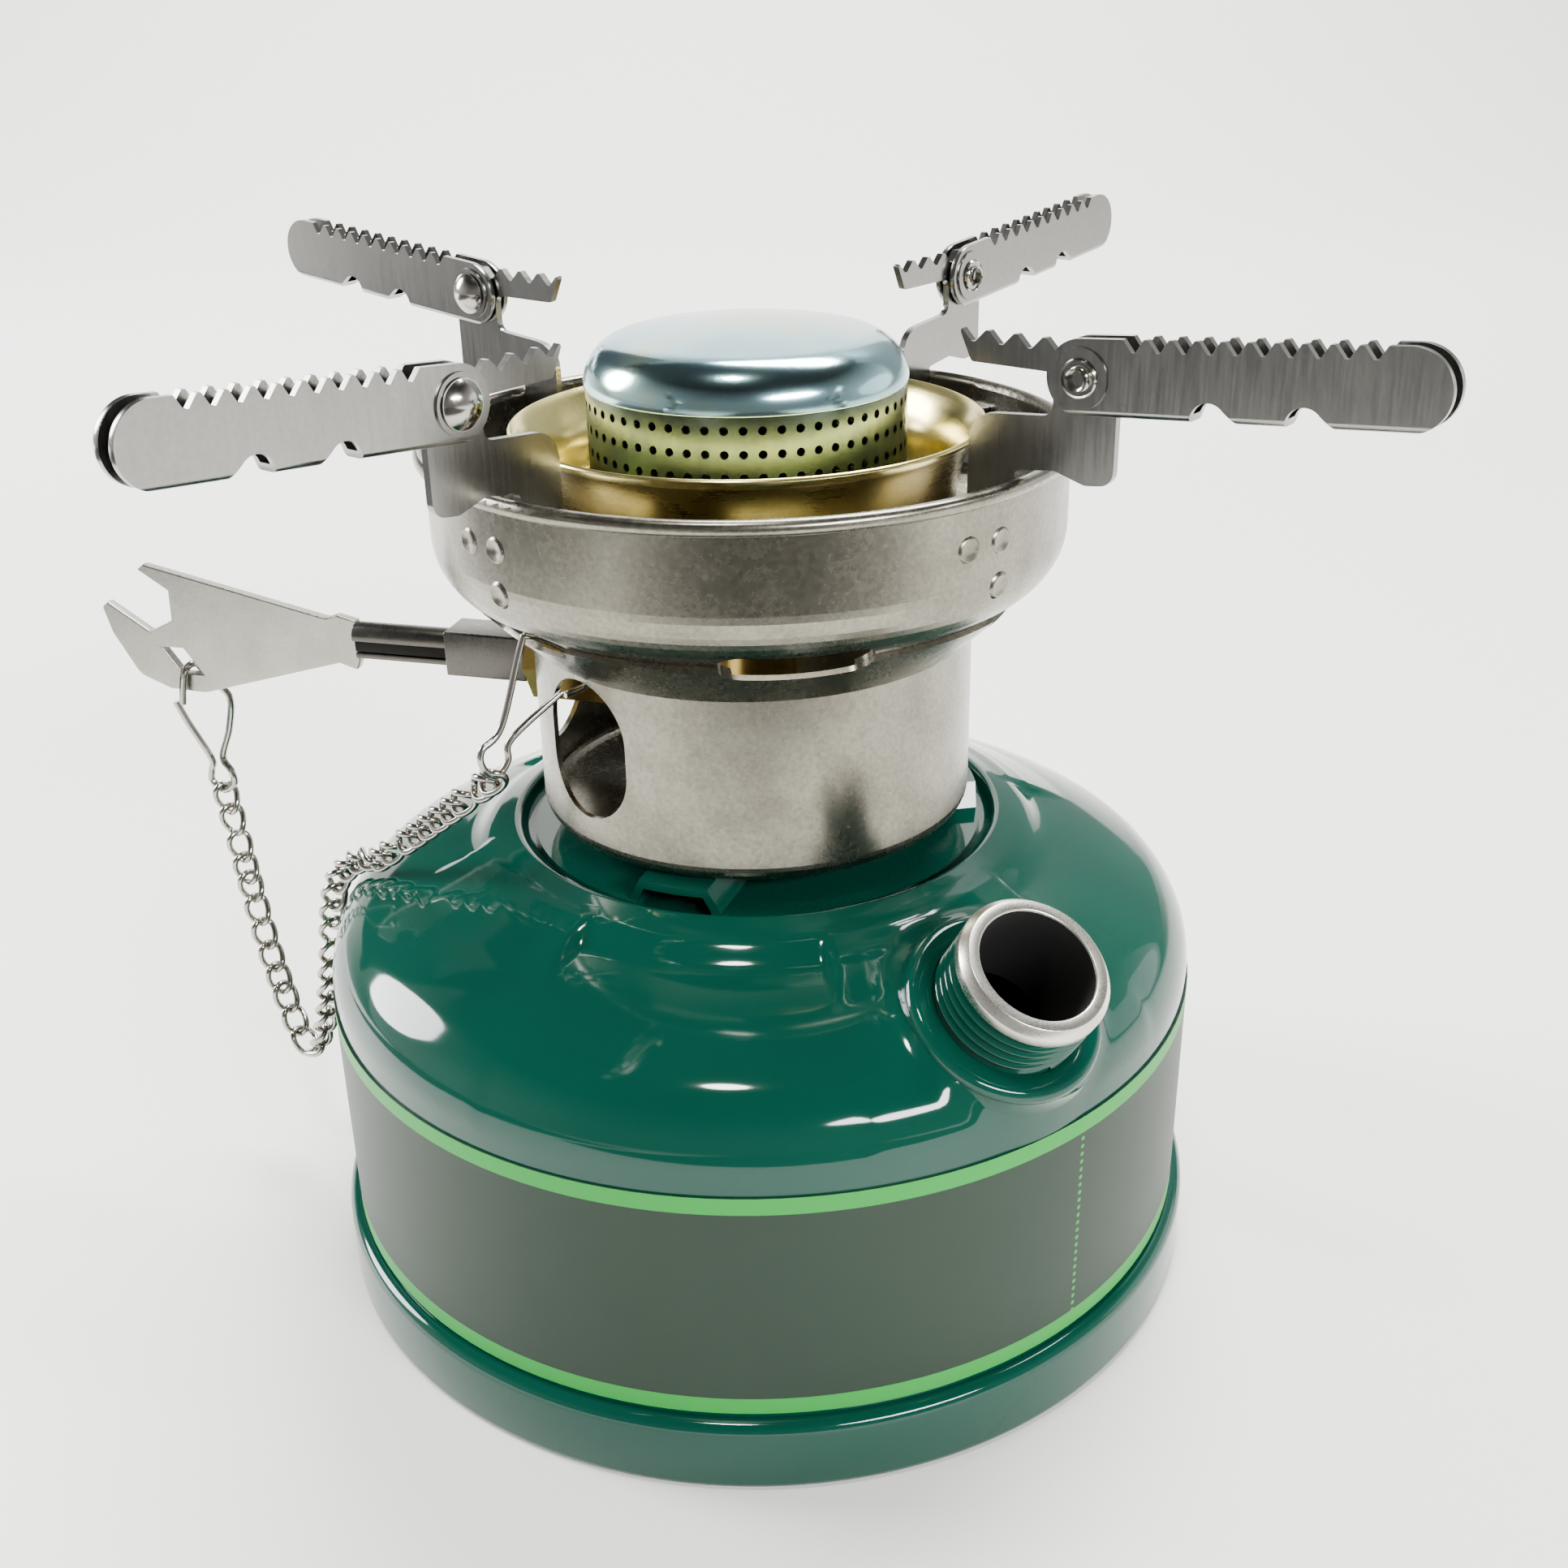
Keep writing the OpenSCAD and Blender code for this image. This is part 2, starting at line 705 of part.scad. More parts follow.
module windshield_can() {
    color("lightgray")
    difference() {
        revolve_sheet(can_path(), shield_sheet);
        air_slots();
        air_windows();
        at_screws()
            translate([0, 0, can_floor_z - over])
                cylinder(r = screw_d / 2 + seat, h = shield_sheet + 2 * over);
    }
}

bowl_floor_turn = -52;

function bowl_path() =
    let (corner = [bowl_r - bowl_corner, seam_z + bowl_corner],
         lap = [seam_r, seam_z] + (shield_sheet + seat) * cone_in)
    concat([lap - seam_lap * cone_dir, lap],
           arc(corner, bowl_corner, bowl_floor_turn, 0, 8),
           [[bowl_r, rim_z - rim_bead_r]]);

module windshield_bowl() {
    color("lightgray")
    union() {
        difference() {
            revolve_sheet(bowl_path(), shield_sheet);
            air_slots();
        }
        rotate_extrude($fn = 96)
            translate([bowl_r - shield_sheet + rim_bead_r, rim_z - rim_bead_r])
                circle(r = rim_bead_r, $fn = 24);
    }
}

// BURNER HEAD

cup_lip_w = cup_rim_r - cup_wall_r;
cup_lip_r = (pow(cup_lip_w, 2) + pow(cup_lip_h, 2)) / (2 * cup_lip_w);
cup_lip_turn = asin(cup_lip_h / cup_lip_r);

function cup_path() = concat(
    [[stem_r + seat, cup_floor_z]],
    arc([cup_wall_r - cup_turn, cup_floor_z + cup_turn], cup_turn, -90, 0, 8),
    arc([cup_wall_r + cup_lip_r, cup_rim_z - cup_lip_h], cup_lip_r, 180, 180 - cup_lip_turn, 8));

module burner_cup() {
    color("goldenrod")
    revolve_sheet(cup_path(), cup_sheet);
}

sleeve_bottom_z = cup_floor_z + cup_sheet;
first_row_z = sleeve_top_z - row_edge;

module burner_sleeve() {
    color("darkkhaki")
    difference() {
        translate([0, 0, sleeve_bottom_z])
            ring(sleeve_r, sleeve_r - head_sheet, sleeve_top_z - sleeve_bottom_z);
        for (row = [0 : hole_rows - 1], i = [0 : hole_count - 1])
            rotate([0, 0, 360 / hole_count * i])
                translate([sleeve_r - 2 * head_sheet, 0, first_row_z - hole_row_step * row])
                    rotate([0, 90, 0])
                        cylinder(d = hole_d, h = 3 * head_sheet, $fn = 16);
    }
}

cap_r = sleeve_r + cap_lip;
cap_ball_r = (pow(cap_r - cap_corner, 2) + pow(cap_crown, 2)) / (2 * cap_crown);
cap_ball_angle = asin((cap_r - cap_corner) / cap_ball_r);

function cap_path() = concat(
    [[cap_r, sleeve_top_z]],
    arc([cap_r - cap_corner, cap_top_z - cap_crown - cap_corner], cap_corner, 0, 90 - cap_ball_angle, 8),
    arc([0, cap_top_z - cap_ball_r], cap_ball_r, 90 - cap_ball_angle, 90, 6));

module burner_cap() {
    color("lightsteelblue")
    revolve_sheet(cap_path(), head_sheet);
}

// VALVE AND RISER

column_top_z = can_top_z + column_rise;
body_foot_z = well_floor_z + gasket_t;
jet_seat_z = column_top_z + spigot_h;
spindle_tip = gas_bore_r + needle_len;
packing_start = boss_end - packing_len;

module valve_body() {
    color("goldenrod")
    difference() {
        union() {
            translate([0, 0, body_foot_z])
                cylinder(r = column_r + hex_lip, h = hex_h, $fn = 6);
            translate([0, 0, body_foot_z])
                cylinder(r = column_r, h = column_top_z - body_foot_z);
            translate([0, 0, column_top_z])
                cylinder(r = spigot_r, h = spigot_h);
            at_spindle()
                rod_x(boss_r, 0, boss_end);
        }
        translate([0, 0, body_foot_z - over])
            cylinder(r = riser_r + seat, h = hex_h + riser_socket + over);
        translate([0, 0, body_foot_z])
            cylinder(r = gas_bore_r, h = jet_seat_z - body_foot_z + over);
        at_spindle() {
            rod_x(spindle_d / 2 + spindle_fit, spindle_tip - loose, boss_end + over);
            rod_x(packing_r + seat, packing_start, boss_end + over);
        }
    }
}

riser_bottom_z = base_dish_h + tank_sheet + riser_clear;
riser_top_z = body_foot_z + hex_h + riser_socket;

module riser_gasket() {
    color("firebrick")
    translate([0, 0, well_floor_z])
        ring(riser_r + gasket_w, riser_r + seat, gasket_t);
}

module riser_tube() {
    color("goldenrod")
    translate([0, 0, riser_bottom_z])
        ring(riser_r, riser_r - riser_wall, riser_top_z - riser_bottom_z);
}

module wick() {
    color("linen")
    translate([0, 0, base_dish_h + tank_sheet + loose])
        cylinder(r = riser_r - riser_wall - loose, h = riser_top_z - base_dish_h - tank_sheet - riser_r);
}

module jet() {
    color("gold")
    translate([0, 0, jet_seat_z])
        difference() {
            union() {
                cylinder(r = jet_hex_r, h = jet_h * 0.6, $fn = 6);
                cylinder(r = jet_tip_r, h = jet_h);
            }
            translate([0, 0, -over])
                cylinder(r = jet_bore_r, h = jet_h + 2 * over, $fn = 16);
        }
}

port_z = jet_seat_z + jet_h / 5;

module burner_stem() {
    color("goldenrod")
    difference() {
        union() {
            translate([0, 0, column_top_z])
                ring(stem_r, spigot_r + seat, spigot_h);
            translate([0, 0, jet_seat_z])
                ring(stem_r, stem_r - stem_wall, cup_floor_z + stem_rise - jet_seat_z);
            translate([0, 0, cup_floor_z - stem_lip_h])
                ring(stem_r + stem_lip, stem_r - stem_wall, stem_lip_h);
        }
        for (i = [0 : 3])
            rotate([0, 0, spindle_az + 45 + 90 * i])
                translate([0, -port_w / 2, port_z])
                    cube([2 * stem_r, port_w, port_w]);
    }
}

gland_start = boss_end - gland_lap;
square_start = gland_end + socket_gap / 2;
spindle_end = gland_end + socket_gap + square_len;

module valve_spindle() {
    color("silver")
    at_spindle() {
        translate([spindle_tip, 0, 0])
            rotate([0, 90, 0])
                cylinder(r1 = needle_r, r2 = spindle_d / 2, h = needle_len);
        rod_x(spindle_d / 2, spindle_tip + needle_len, square_start);
        translate([square_start, -square_a / 2, -square_a / 2])
            cube([spindle_end - square_start, square_a, square_a]);
    }
}

module gland_packing() {
    color("dimgray")
    at_spindle()
        difference() {
            rod_x(packing_r, packing_start, boss_end);
            rod_x(spindle_d / 2 + spindle_fit, packing_start - over, boss_end + over);
        }
}

module gland_nut() {
    color("goldenrod")
    at_spindle()
        difference() {
            translate([gland_start, 0, 0])
                rotate([0, 90, 0])
                    rotate([0, 0, 30])
                        cylinder(r = gland_af / 2 / cos(30), h = gland_end - gland_start, $fn = 6);
            rod_x(boss_r + seat, gland_start - over, boss_end + seat);
            rod_x(spindle_d / 2 + spindle_fit, gland_start, gland_end + over);
        }
}

// POT SUPPORTS

arm_half = arm_sheet + arm_side_gap + bracket_t / 2;
arm_slot = bracket_t + 2 * arm_side_gap;
post_out_r = pivot_r + arm_h / 2 - fold_gap;
post_in_r = pivot_r - post_half;
blade_top_z = pivot_z + blade_h;
blade_under_z = pivot_z - seat;
web_start = arm_h / 2;
web_end = arm_len - arm_h / 2 - tooth_land;
first_tooth = arm_h / 2 + arm_sheet;

module at_pivot(i) {
    rotate([0, 0, arm_az + 90 * i])
        translate([pivot_r, 0, pivot_z])
            children();
}

// Row of n gaps between teeth: a flat land, then a sloped gap with a narrow floor
module tooth_gaps(x0, z, n, pitch) {
    wide = (pitch - tooth_land) / 2;
    for (k = [0 : n - 1])
        translate([x0 + pitch * (k + 0.5), z])
            polygon([[-pitch / 2, over], [-wide, 0], [-tooth_land / 2, -tooth_depth],
                     [tooth_land / 2, -tooth_depth], [wide, 0], [pitch / 2, over]]);
}

module arm_outline() {
    difference() {
        translate([arm_len / 2 - arm_h / 4, 0])
            stadium(arm_len + arm_h / 2, arm_h);
        tooth_gaps(first_tooth, arm_h / 2, arm_teeth, tooth_pitch);
        for (k = [0, 1])
            translate([notch_first + notch_step * k, -arm_h / 2]) {
                circle(r = notch_r);
                polygon([[0, 0], [0, notch_r], [notch_r / 2, notch_r * 0.87],
                         [notch_r * 2, -over], [0, -over]]);
            }
    }
}

module channel_section() {
    fold = 2 * arm_sheet;
    translate([-arm_half, -arm_h / 2 + fold / 2])
        square([2 * arm_half, 2 * arm_h]);
    translate([-arm_half + fold / 2, -arm_h / 2])
        square([2 * arm_half - fold, arm_h]);
    for (side = [-1, 1])
        translate([side * (arm_half - fold / 2), -arm_h / 2 + fold / 2])
            circle(d = fold, $fn = 24);
}

module arm(i) {
    color("gainsboro")
    at_pivot(i)
    rotate([0, -arm_rise, 0])
    difference() {
        union() {
            intersection() {
                rotate([90, 0, 0])
                    linear_extrude(2 * arm_half, center = true)
                        arm_outline();
                translate([-arm_h, 0, 0])
                    rotate([90, 0, 90])
                        linear_extrude(arm_len + 2 * arm_h)
                            channel_section();
            }
            rotate([90, 0, 0])
                cylinder(r = pad_r, h = 2 * (arm_half + pad_h), center = true);
        }
        translate([-arm_h, -arm_slot / 2, -arm_h / 2 + arm_sheet])
            cube([arm_len + 2 * arm_h, arm_slot, 2 * arm_h]);
        translate([-arm_h, -arm_slot / 2, -arm_h])
            cube([arm_h + web_start, arm_slot, 2 * arm_h]);
        translate([web_end, -arm_slot / 2, -arm_h])
            cube([arm_h, arm_slot, 2 * arm_h]);
        rotate([90, 0, 0])
            cylinder(r = rivet_r + rivet_fit, h = 4 * arm_half, center = true);
    }
}

wall_in_r = bowl_r - shield_sheet - 2 * seat;
flange_low_z = rim_z - flange_drop - flange_h;
lobe_r = pivot_r - blade_len + lobe_step;
lobe_top_z = pivot_z - lobe_drop;
// Place on the arched tab between the bowl's wall and the post's outer edge, as a share of its width
function tab_r(share) = wall_in_r + share * (post_out_r - wall_in_r);

function bracket_points() = [
    [pivot_r - blade_len, blade_top_z, 0.4],
    [pivot_r - blade_len + 1.8, blade_under_z, 0.6],
    [post_in_r, blade_under_z, 1.2],
    [post_in_r, lobe_top_z + 1, 1.4],
    [lobe_r, lobe_top_z, 3.6],
    [lobe_r, flange_low_z, 2],
    [wall_in_r, flange_low_z, 0.4],
    [wall_in_r, rim_z + rim_gap, 0.5],
    [tab_r(0.4), rim_z + 2 * rim_gap, 0.8],
    [tab_r(0.72), rim_z + rim_gap / 3, 2],
    [post_out_r, rim_z + rim_gap, 1.8],
    [post_out_r, blade_top_z, blade_h - 0.1]];

module bracket(i) {
    color("silver")
    rotate([0, 0, arm_az + 90 * i])
    union() {
        difference() {
            rotate([90, 0, 0])
                linear_extrude(bracket_t, center = true)
                    difference() {
                        polygon(rounded(bracket_points()));
                        tooth_gaps(pivot_r - blade_len + 0.1, blade_top_z, blade_teeth, blade_pitch);
                    }
            translate([pivot_r, 0, pivot_z])
                rotate([90, 0, 0])
                    cylinder(r = rivet_r + seat, h = 2 * bracket_t, center = true);
        }
        rotate([0, 0, -flange_w / wall_in_r * 180 / PI])
            rotate_extrude(angle = flange_w / wall_in_r * 180 / PI, $fn = 96)
                translate([wall_in_r - bracket_t, flange_low_z])
                    square([bracket_t, flange_h]);
    }
}

head_seat = arm_half + pad_h + 2 * seat;
head_ball_r = (pow(rivet_head_r, 2) + pow(rivet_head_h, 2)) / (2 * rivet_head_h);

module rivet(i) {
    color("white")
    at_pivot(i) {
        rotate([90, 0, 0])
            difference() {
                union() {
                    cylinder(r = rivet_r, h = 2 * (head_seat + loose), center = true);
                    translate([0, 0, head_seat])
                        cylinder(r = eyelet_r, h = eyelet_h);
                }
                translate([0, 0, head_seat - eyelet_h])
                    cylinder(r = rivet_r - eyelet_wall, h = 2 * eyelet_h + over);
            }
        intersection() {
            translate([0, head_seat + rivet_head_h - head_ball_r, 0])
                sphere(r = head_ball_r);
            translate([-pivot_r, head_seat, -pivot_r])
                cube([2 * pivot_r, pivot_r, 2 * pivot_r]);
        }
    }
}

// KEY

socket_start = gland_end + socket_gap;
socket_stop = socket_start + socket_len;
shank_stop = socket_stop + shank_len;
key_tip = tank_r + key_reach;
tongue_h = shank_h - 2 * shank_sheet - 2 * seat;
shank_w = key_t + 2 * shank_sheet + 2 * seat;

module key_shank() {
    color("silver")
    at_spindle()
    difference() {
        union() {
            translate([socket_start, -socket_a / 2, -socket_a / 2])
                cube([socket_len, socket_a, socket_a]);
            translate([socket_stop - shank_sheet, -shank_w / 2, -shank_h / 2])
                cube([shank_len + shank_sheet, shank_w, shank_h]);
        }
        translate([socket_start - over, -square_a / 2 - square_fit, -square_a / 2 - square_fit])
            cube([square_len + shank_sheet + over, square_a + 2 * square_fit, square_a + 2 * square_fit]);
        translate([socket_stop + shank_sheet, -key_t / 2 - seat, -shank_h / 2 + shank_sheet])
            cube([shank_len, key_t + 2 * seat, shank_h - 2 * shank_sheet]);
        translate([socket_start - over, -socket_a / 2 - over, -socket_a / 2 + shank_sheet])
            cube([socket_len + shank_len + 2 * over, socket_a / 2, loose]);
    }
}

head_low = key_head_h - jaw_up;
tongue_start = socket_stop + shank_sheet + 4 * seat;
jaw_c = [key_tip - 7.7, 3.4];
eye = [key_tip - 12.4, -5.6];

function key_points() = [
    [tongue_start, tongue_h / 2, 0],
    [shank_stop, tongue_h / 2, 0],
    [shank_stop, shank_h / 2 + 0.2, 0.3],
    [shank_stop + 3, shank_h / 2 + 0.9, 0.6],
    [shank_stop + 4.8, shank_h / 2 + 0.3, 0.6],
    [key_tip - 8.1, jaw_up, 0.8],
    [key_tip, 2.2, 0.6],
    [key_tip - 1, -1.9, 1.5],
    [key_tip - 4.6, 2.2 - head_low, 3],
    [key_tip - 9.6, -head_low + 0.2, 3],
    [key_tip - 15.5, -head_low, 3],
    [shank_stop + 3.4, -shank_h / 2 - 1.1, 0.6],
    [shank_stop + 0.6, -shank_h / 2 - 2, 0.4],
    [shank_stop, -shank_h / 2 - 0.6, 0.3],
    [shank_stop, -tongue_h / 2, 0],
    [tongue_start, -tongue_h / 2, 0]];

module key_blade() {
    color("silver")
    at_spindle()
    rotate([90, 0, 0])
    linear_extrude(key_t, center = true)
    difference() {
        polygon(rounded(key_points()));
        translate(jaw_c)
            rotate([0, 0, jaw_angle])
                polygon([[key_head_h, -jaw_w / 2], [key_head_h, jaw_w / 2], [-jaw_w / 2 * tan(30), jaw_w / 2],
                         [-jaw_w / 2 / cos(30), 0], [-jaw_w / 2 * tan(30), -jaw_w / 2]]);
        translate(eye)
            polygon([[(eye_w + eye_lean) / 2, eye_h / 2], [(eye_lean - eye_w) / 2, eye_h / 2],
                     [-(eye_w + eye_lean) / 2, -eye_h / 2], [(eye_w - eye_lean) / 2, -eye_h / 2]]);
    }
}

// CLIPS AND CHAIN

// Round wire along a smooth curve through the points
wire_sides = 10;
wire_steps = 4;

function curve_at(p, k, t) =
    let (a = p[max(k - 1, 0)], b = p[k], c = p[k + 1], d = p[min(k + 2, len(p) - 1)])
    0.5 * (2 * b + (c - a) * t + (2 * a - 5 * b + 4 * c - d) * t * t
           + (3 * b - a - 3 * c + d) * t * t * t);
function smooth(p) = concat(
    [for (k = [0 : len(p) - 2], i = [0 : wire_steps - 1]) curve_at(p, k, i / wire_steps)],
    [p[len(p) - 1]]);
function tangent(q, i) = unit(q[min(i + 1, len(q) - 1)] - q[max(i - 1, 0)]);
function carried(q, i) =
    i == 0 ? unit(cross(tangent(q, 0), [0.3, 0.9, 0.2]))
           : let (n = carried(q, i - 1), t = tangent(q, i)) unit(n - (n * t) * t);

module wire(points, d) {
    q = smooth(points);
    n = len(q);
    rings = [for (i = [0 : n - 1])
        let (u = carried(q, i), v = cross(tangent(q, i), u))
        each [for (k = [0 : wire_sides - 1])
            q[i] + d / 2 * (cos(360 / wire_sides * k) * u + sin(360 / wire_sides * k) * v)]];
    sides = [for (i = [0 : n - 2], k = [0 : wire_sides - 1])
        let (a = i * wire_sides, next = (k + 1) % wire_sides)
        each [[a + k, a + wire_sides + k, a + wire_sides + next], [a + k, a + wire_sides + next, a + next]]];
    polyhedron(rings, concat(sides,
        [[for (k = [0 : wire_sides - 1]) k]],
        [[for (k = [wire_sides - 1 : -1 : 0]) (n - 1) * wire_sides + k]]));
}

// Clip that hangs in the key's eye; points are [along the spindle, across the blade, up], the first
// and the last in shares of the clip's drop
clip_side = key_t / 2 + clip_wire;
clip_eye = [eye[0], 0, eye[1] - eye_h / 2 + clip_wire];
clip_back = 0.15 * clip_drop;

function key_clip_points() = [for (q = [
    [0.03, 1, -0.27],
    [0, 1, -0.12],
    [-0.025, 0.8, -0.015],
    [-0.04, 0, 0.015],
    [-0.055, -0.8, -0.015],
    [-0.115, -1, -0.125],
    [-0.26, -1, -0.25],
    [-0.24, -0.7, -0.485],
    [-0.165, -0.3, -0.73],
    [-0.235, 0, -0.835],
    [-0.245, 0, -0.93],
    [-0.15, 0, -1],
    [-0.06, 0, -0.93],
    [-0.07, 0, -0.835],
    [-0.095, 0.3, -0.73],
    [0.02, 0.8, -0.435],
    [0.085, 1, -0.26]]) clip_eye + [q[0] * clip_drop, q[1] * clip_side, q[2] * clip_drop]];

module key_clip() {
    color("silver")
    at_spindle()
        wire(key_clip_points(), clip_wire);
}

// Clip that hooks through an air slot and the window below it; points are [radius, across, height],
// reckoned from the can's upper edge or from the seam in shares of the clip's drop
clip_az = spindle_az + window_step - 4;
clip_low_z = can_top_z - hook_drop;
clip_low_r = seam_r + 0.38 * hook_drop;

function on_hook(r, share_r, across, z, share_z) = [r + share_r * hook_drop, across, z + share_z * hook_drop];

function can_clip_points() = [
    on_hook(can_r, 0.13, clip_wire, can_top_z, -0.22),
    on_hook(can_r, -0.17, clip_wire, can_top_z, -0.17),
    on_hook(can_r, -0.11, clip_wire / 2, can_top_z, 0.13),
    on_hook(can_r, 0.145, clip_wire / 2, can_top_z, 0.38),
    on_hook(seam_r, -0.18, 0, seam_z, -0.055),
    on_hook(seam_r, -0.08, -clip_wire / 4, seam_z, -0.165),
    on_hook(seam_r, 0.265, 0, can_top_z, -0.42),
    on_hook(seam_r, 0.545, 0, can_top_z, -0.635),
    on_hook(seam_r, 0.545, 0, can_top_z, -0.855),
    [clip_low_r, 0, clip_low_z],
    on_hook(seam_r, 0.22, 0, can_top_z, -0.855),
    on_hook(seam_r, 0.145, 0, can_top_z, -0.6),
    on_hook(can_r, 0.165, clip_wire, can_top_z, -0.17)];

module can_clip() {
    color("silver")
    rotate([0, 0, clip_az])
        wire(can_clip_points(), clip_wire);
}

// Straight sides and round ends of one link, lying along X
module link() {
    bend = (link_w - link_wire) / 2;
    run = link_len - link_w;
    for (side = [-1, 1]) {
        translate([-run / 2, side * bend, 0])
            rotate([0, 90, 0])
                cylinder(d = link_wire, h = run, $fn = 16);
        translate([side * run / 2, 0, 0])
            rotate([0, 0, side * 90 - 180])
                rotate_extrude(angle = 180, $fn = 32)
                    translate([bend, 0])
                        circle(d = link_wire, $fn = 16);
    }
}

// The chain hangs in one upright plane: it leaves the can's clip, rests on the tank's shoulder,
// drops over the side and climbs to the key's clip
chain_from = [cos(clip_az), sin(clip_az)] * clip_low_r;
chain_to = [cos(spindle_az), sin(spindle_az)] * (clip_eye[0] - clip_back);
chain_az = atan2(chain_to[1] - chain_from[1], chain_to[0] - chain_from[0]);
chain_span = norm(chain_to - chain_from);
chain_end_z = spindle_z + clip_eye[2] - clip_drop;
chain_low_z = chain_end_z - bight_drop;

// Run along that plane to the point whose distance from the stove's axis is r
function run_to(r) =
    let (along = chain_from * [cos(chain_az), sin(chain_az)])
    sqrt(along * along - chain_from * chain_from + r * r) - along;
function on_dome(in_r, rise) = [run_to(tank_r - in_r), dome_z(tank_r - in_r) + rise];
function beside(out_r, up) = [run_to(tank_r + out_r), tank_side_top + up];
function climbing(back, drop) = [chain_span - back, chain_end_z - drop * bight_drop];

bight_s = (beside(8.8, 0)[0] + climbing(9, 0)[0]) / 2;
route = [[0, clip_low_z], on_dome(8.8, chain_rest + 0.5), on_dome(5.5, chain_rest),
         on_dome(2.3, chain_rest + 0.4), beside(0.7, 7.1), beside(2.7, 0.7), beside(4.2, -7.7),
         beside(6.3, -16.2), beside(8.8, -23.7), [bight_s - link_w * 0.6, chain_low_z + 0.6],
         [bight_s, chain_low_z], climbing(11.6, 0.95), climbing(9, 0.83), climbing(6, 0.635),
         climbing(3.6, 0.405), climbing(1.8, 0.19), [chain_span, chain_end_z]];

function run_length(i) = i == 0 ? 0 : run_length(i - 1) + norm(route[i] - route[i - 1]);
function on_route(d, i = 1) =
    d <= run_length(i) || i == len(route) - 1
        ? route[i] + (route[i - 1] - route[i]) * (run_length(i) - d) / norm(route[i] - route[i - 1])
        : on_route(d, i + 1);

chain_len = run_length(len(route) - 1);
link_reach = (link_len - clip_wire) / 2 - link_wire - 0.25;
// An even count, so that the first and the last link both stand across the wire that they hang on
link_count = 2 * round(((chain_len - 2 * link_reach) / link_pitch + 1) / 2);
link_step = (chain_len - 2 * link_reach) / (link_count - 1);

module key_chain() {
    color("silver")
    translate([chain_from[0], chain_from[1], 0])
        rotate([0, 0, chain_az])
            for (k = [0 : link_count - 1]) {
                d = link_reach + link_step * k;
                at = on_route(d);
                ahead = on_route(min(chain_len, d + link_step / 2)) - on_route(max(0, d - link_step / 2));
                translate([at[0], 0, at[1]])
                    rotate([0, -atan2(ahead[1], ahead[0]), 0])
                        rotate([k % 2 == 0 ? 90 : 0, 0, 0])
                            link();
            }
}

tank_shell();
tank_base();
label_band();
filler_neck();
carrier_plate();
carrier_screws();
carrier_nuts();
riser_gasket();
riser_tube();
wick();
windshield_can();
windshield_bowl();
valve_body();
jet();
burner_stem();
burner_cup();
burner_sleeve();
burner_cap();
valve_spindle();
gland_packing();
gland_nut();
key_shank();
key_blade();
key_clip();
can_clip();
key_chain();
bracket(0);  // bracket_1
bracket(1);  // bracket_2
bracket(2);  // bracket_3
bracket(3);  // bracket_4
arm(0);  // arm_1
arm(1);  // arm_2
arm(2);  // arm_3
arm(3);  // arm_4
rivet(0);  // rivet_1
rivet(1);  // rivet_2
rivet(2);  // rivet_3
rivet(3);  // rivet_4
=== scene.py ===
"""Looks of a petrol camping stove: finishes, rounded edges, thread, weld marks, chain, camera and light.

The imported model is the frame. Every mesh is made in metres, in the part's own frame: the origin is
on the stove's axis at the plane that it stands on, and +Z is up. Sizes in the classes of the stove's
pieces are in millimetres and degrees and repeat those of the part's source.
"""

import logging
import math
from dataclasses import dataclass
from enum import Enum, IntEnum

import bpy
from mathutils import Matrix, Vector


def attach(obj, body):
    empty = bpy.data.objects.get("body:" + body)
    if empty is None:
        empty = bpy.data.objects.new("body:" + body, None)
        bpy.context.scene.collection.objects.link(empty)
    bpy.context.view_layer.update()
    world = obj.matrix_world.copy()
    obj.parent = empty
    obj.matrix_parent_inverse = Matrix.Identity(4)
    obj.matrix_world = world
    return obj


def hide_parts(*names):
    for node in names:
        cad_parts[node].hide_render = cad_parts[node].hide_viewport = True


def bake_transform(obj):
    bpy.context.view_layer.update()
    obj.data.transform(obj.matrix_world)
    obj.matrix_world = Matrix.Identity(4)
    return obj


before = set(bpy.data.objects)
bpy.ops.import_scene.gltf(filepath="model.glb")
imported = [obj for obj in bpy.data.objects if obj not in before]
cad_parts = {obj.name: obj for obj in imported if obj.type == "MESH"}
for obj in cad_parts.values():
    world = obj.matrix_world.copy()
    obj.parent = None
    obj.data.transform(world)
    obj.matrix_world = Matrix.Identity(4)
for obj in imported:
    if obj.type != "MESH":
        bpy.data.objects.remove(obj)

Profile = list[tuple[float, float]]
Points = list[tuple[float, float, float]]
Line = tuple[tuple[float, float], ...]
Knots = tuple[tuple[float, float, float], ...]
Pieces = list[bpy.types.Object]

MM = 0.001
# Points of a drawn line or wire that are closer than this, in metres, are one
MERGE = 1e-6
# The same for the poles of turned shapes and for copied solids, which are less exact
POLE_MERGE = 2e-6
# Neighbouring faces of a copied solid that turn by less than this, in degrees, become one
FLAT_ANGLE = 0.5
# A cutting tool starts this far outside what it cuts, in mm
TOOL_PAST = 1.0
# Nearly all values of a noise texture lie between these two
NOISE_LOW = 0.3
NOISE_HIGH = 0.7
ROOT = "stove"
KEY = "key"
log = logging.getLogger("stove")


def arc(cx: float, cz: float, r: float, start: float, end: float, steps: int = 12) -> Profile:
    """Points on a circle's arc.

    Args:
        cx: Centre, first coordinate, in mm.
        cz: Centre, second coordinate, in mm.
        r: Radius in mm.
        start: First angle in degrees.
        end: Last angle in degrees.
        steps: Number of straight steps.

    Returns:
        The arc's points, both ends included.
    """
    turn = [math.radians(start + (end - start) * i / steps) for i in range(steps + 1)]
    return [(cx + r * math.cos(a), cz + r * math.sin(a)) for a in turn]


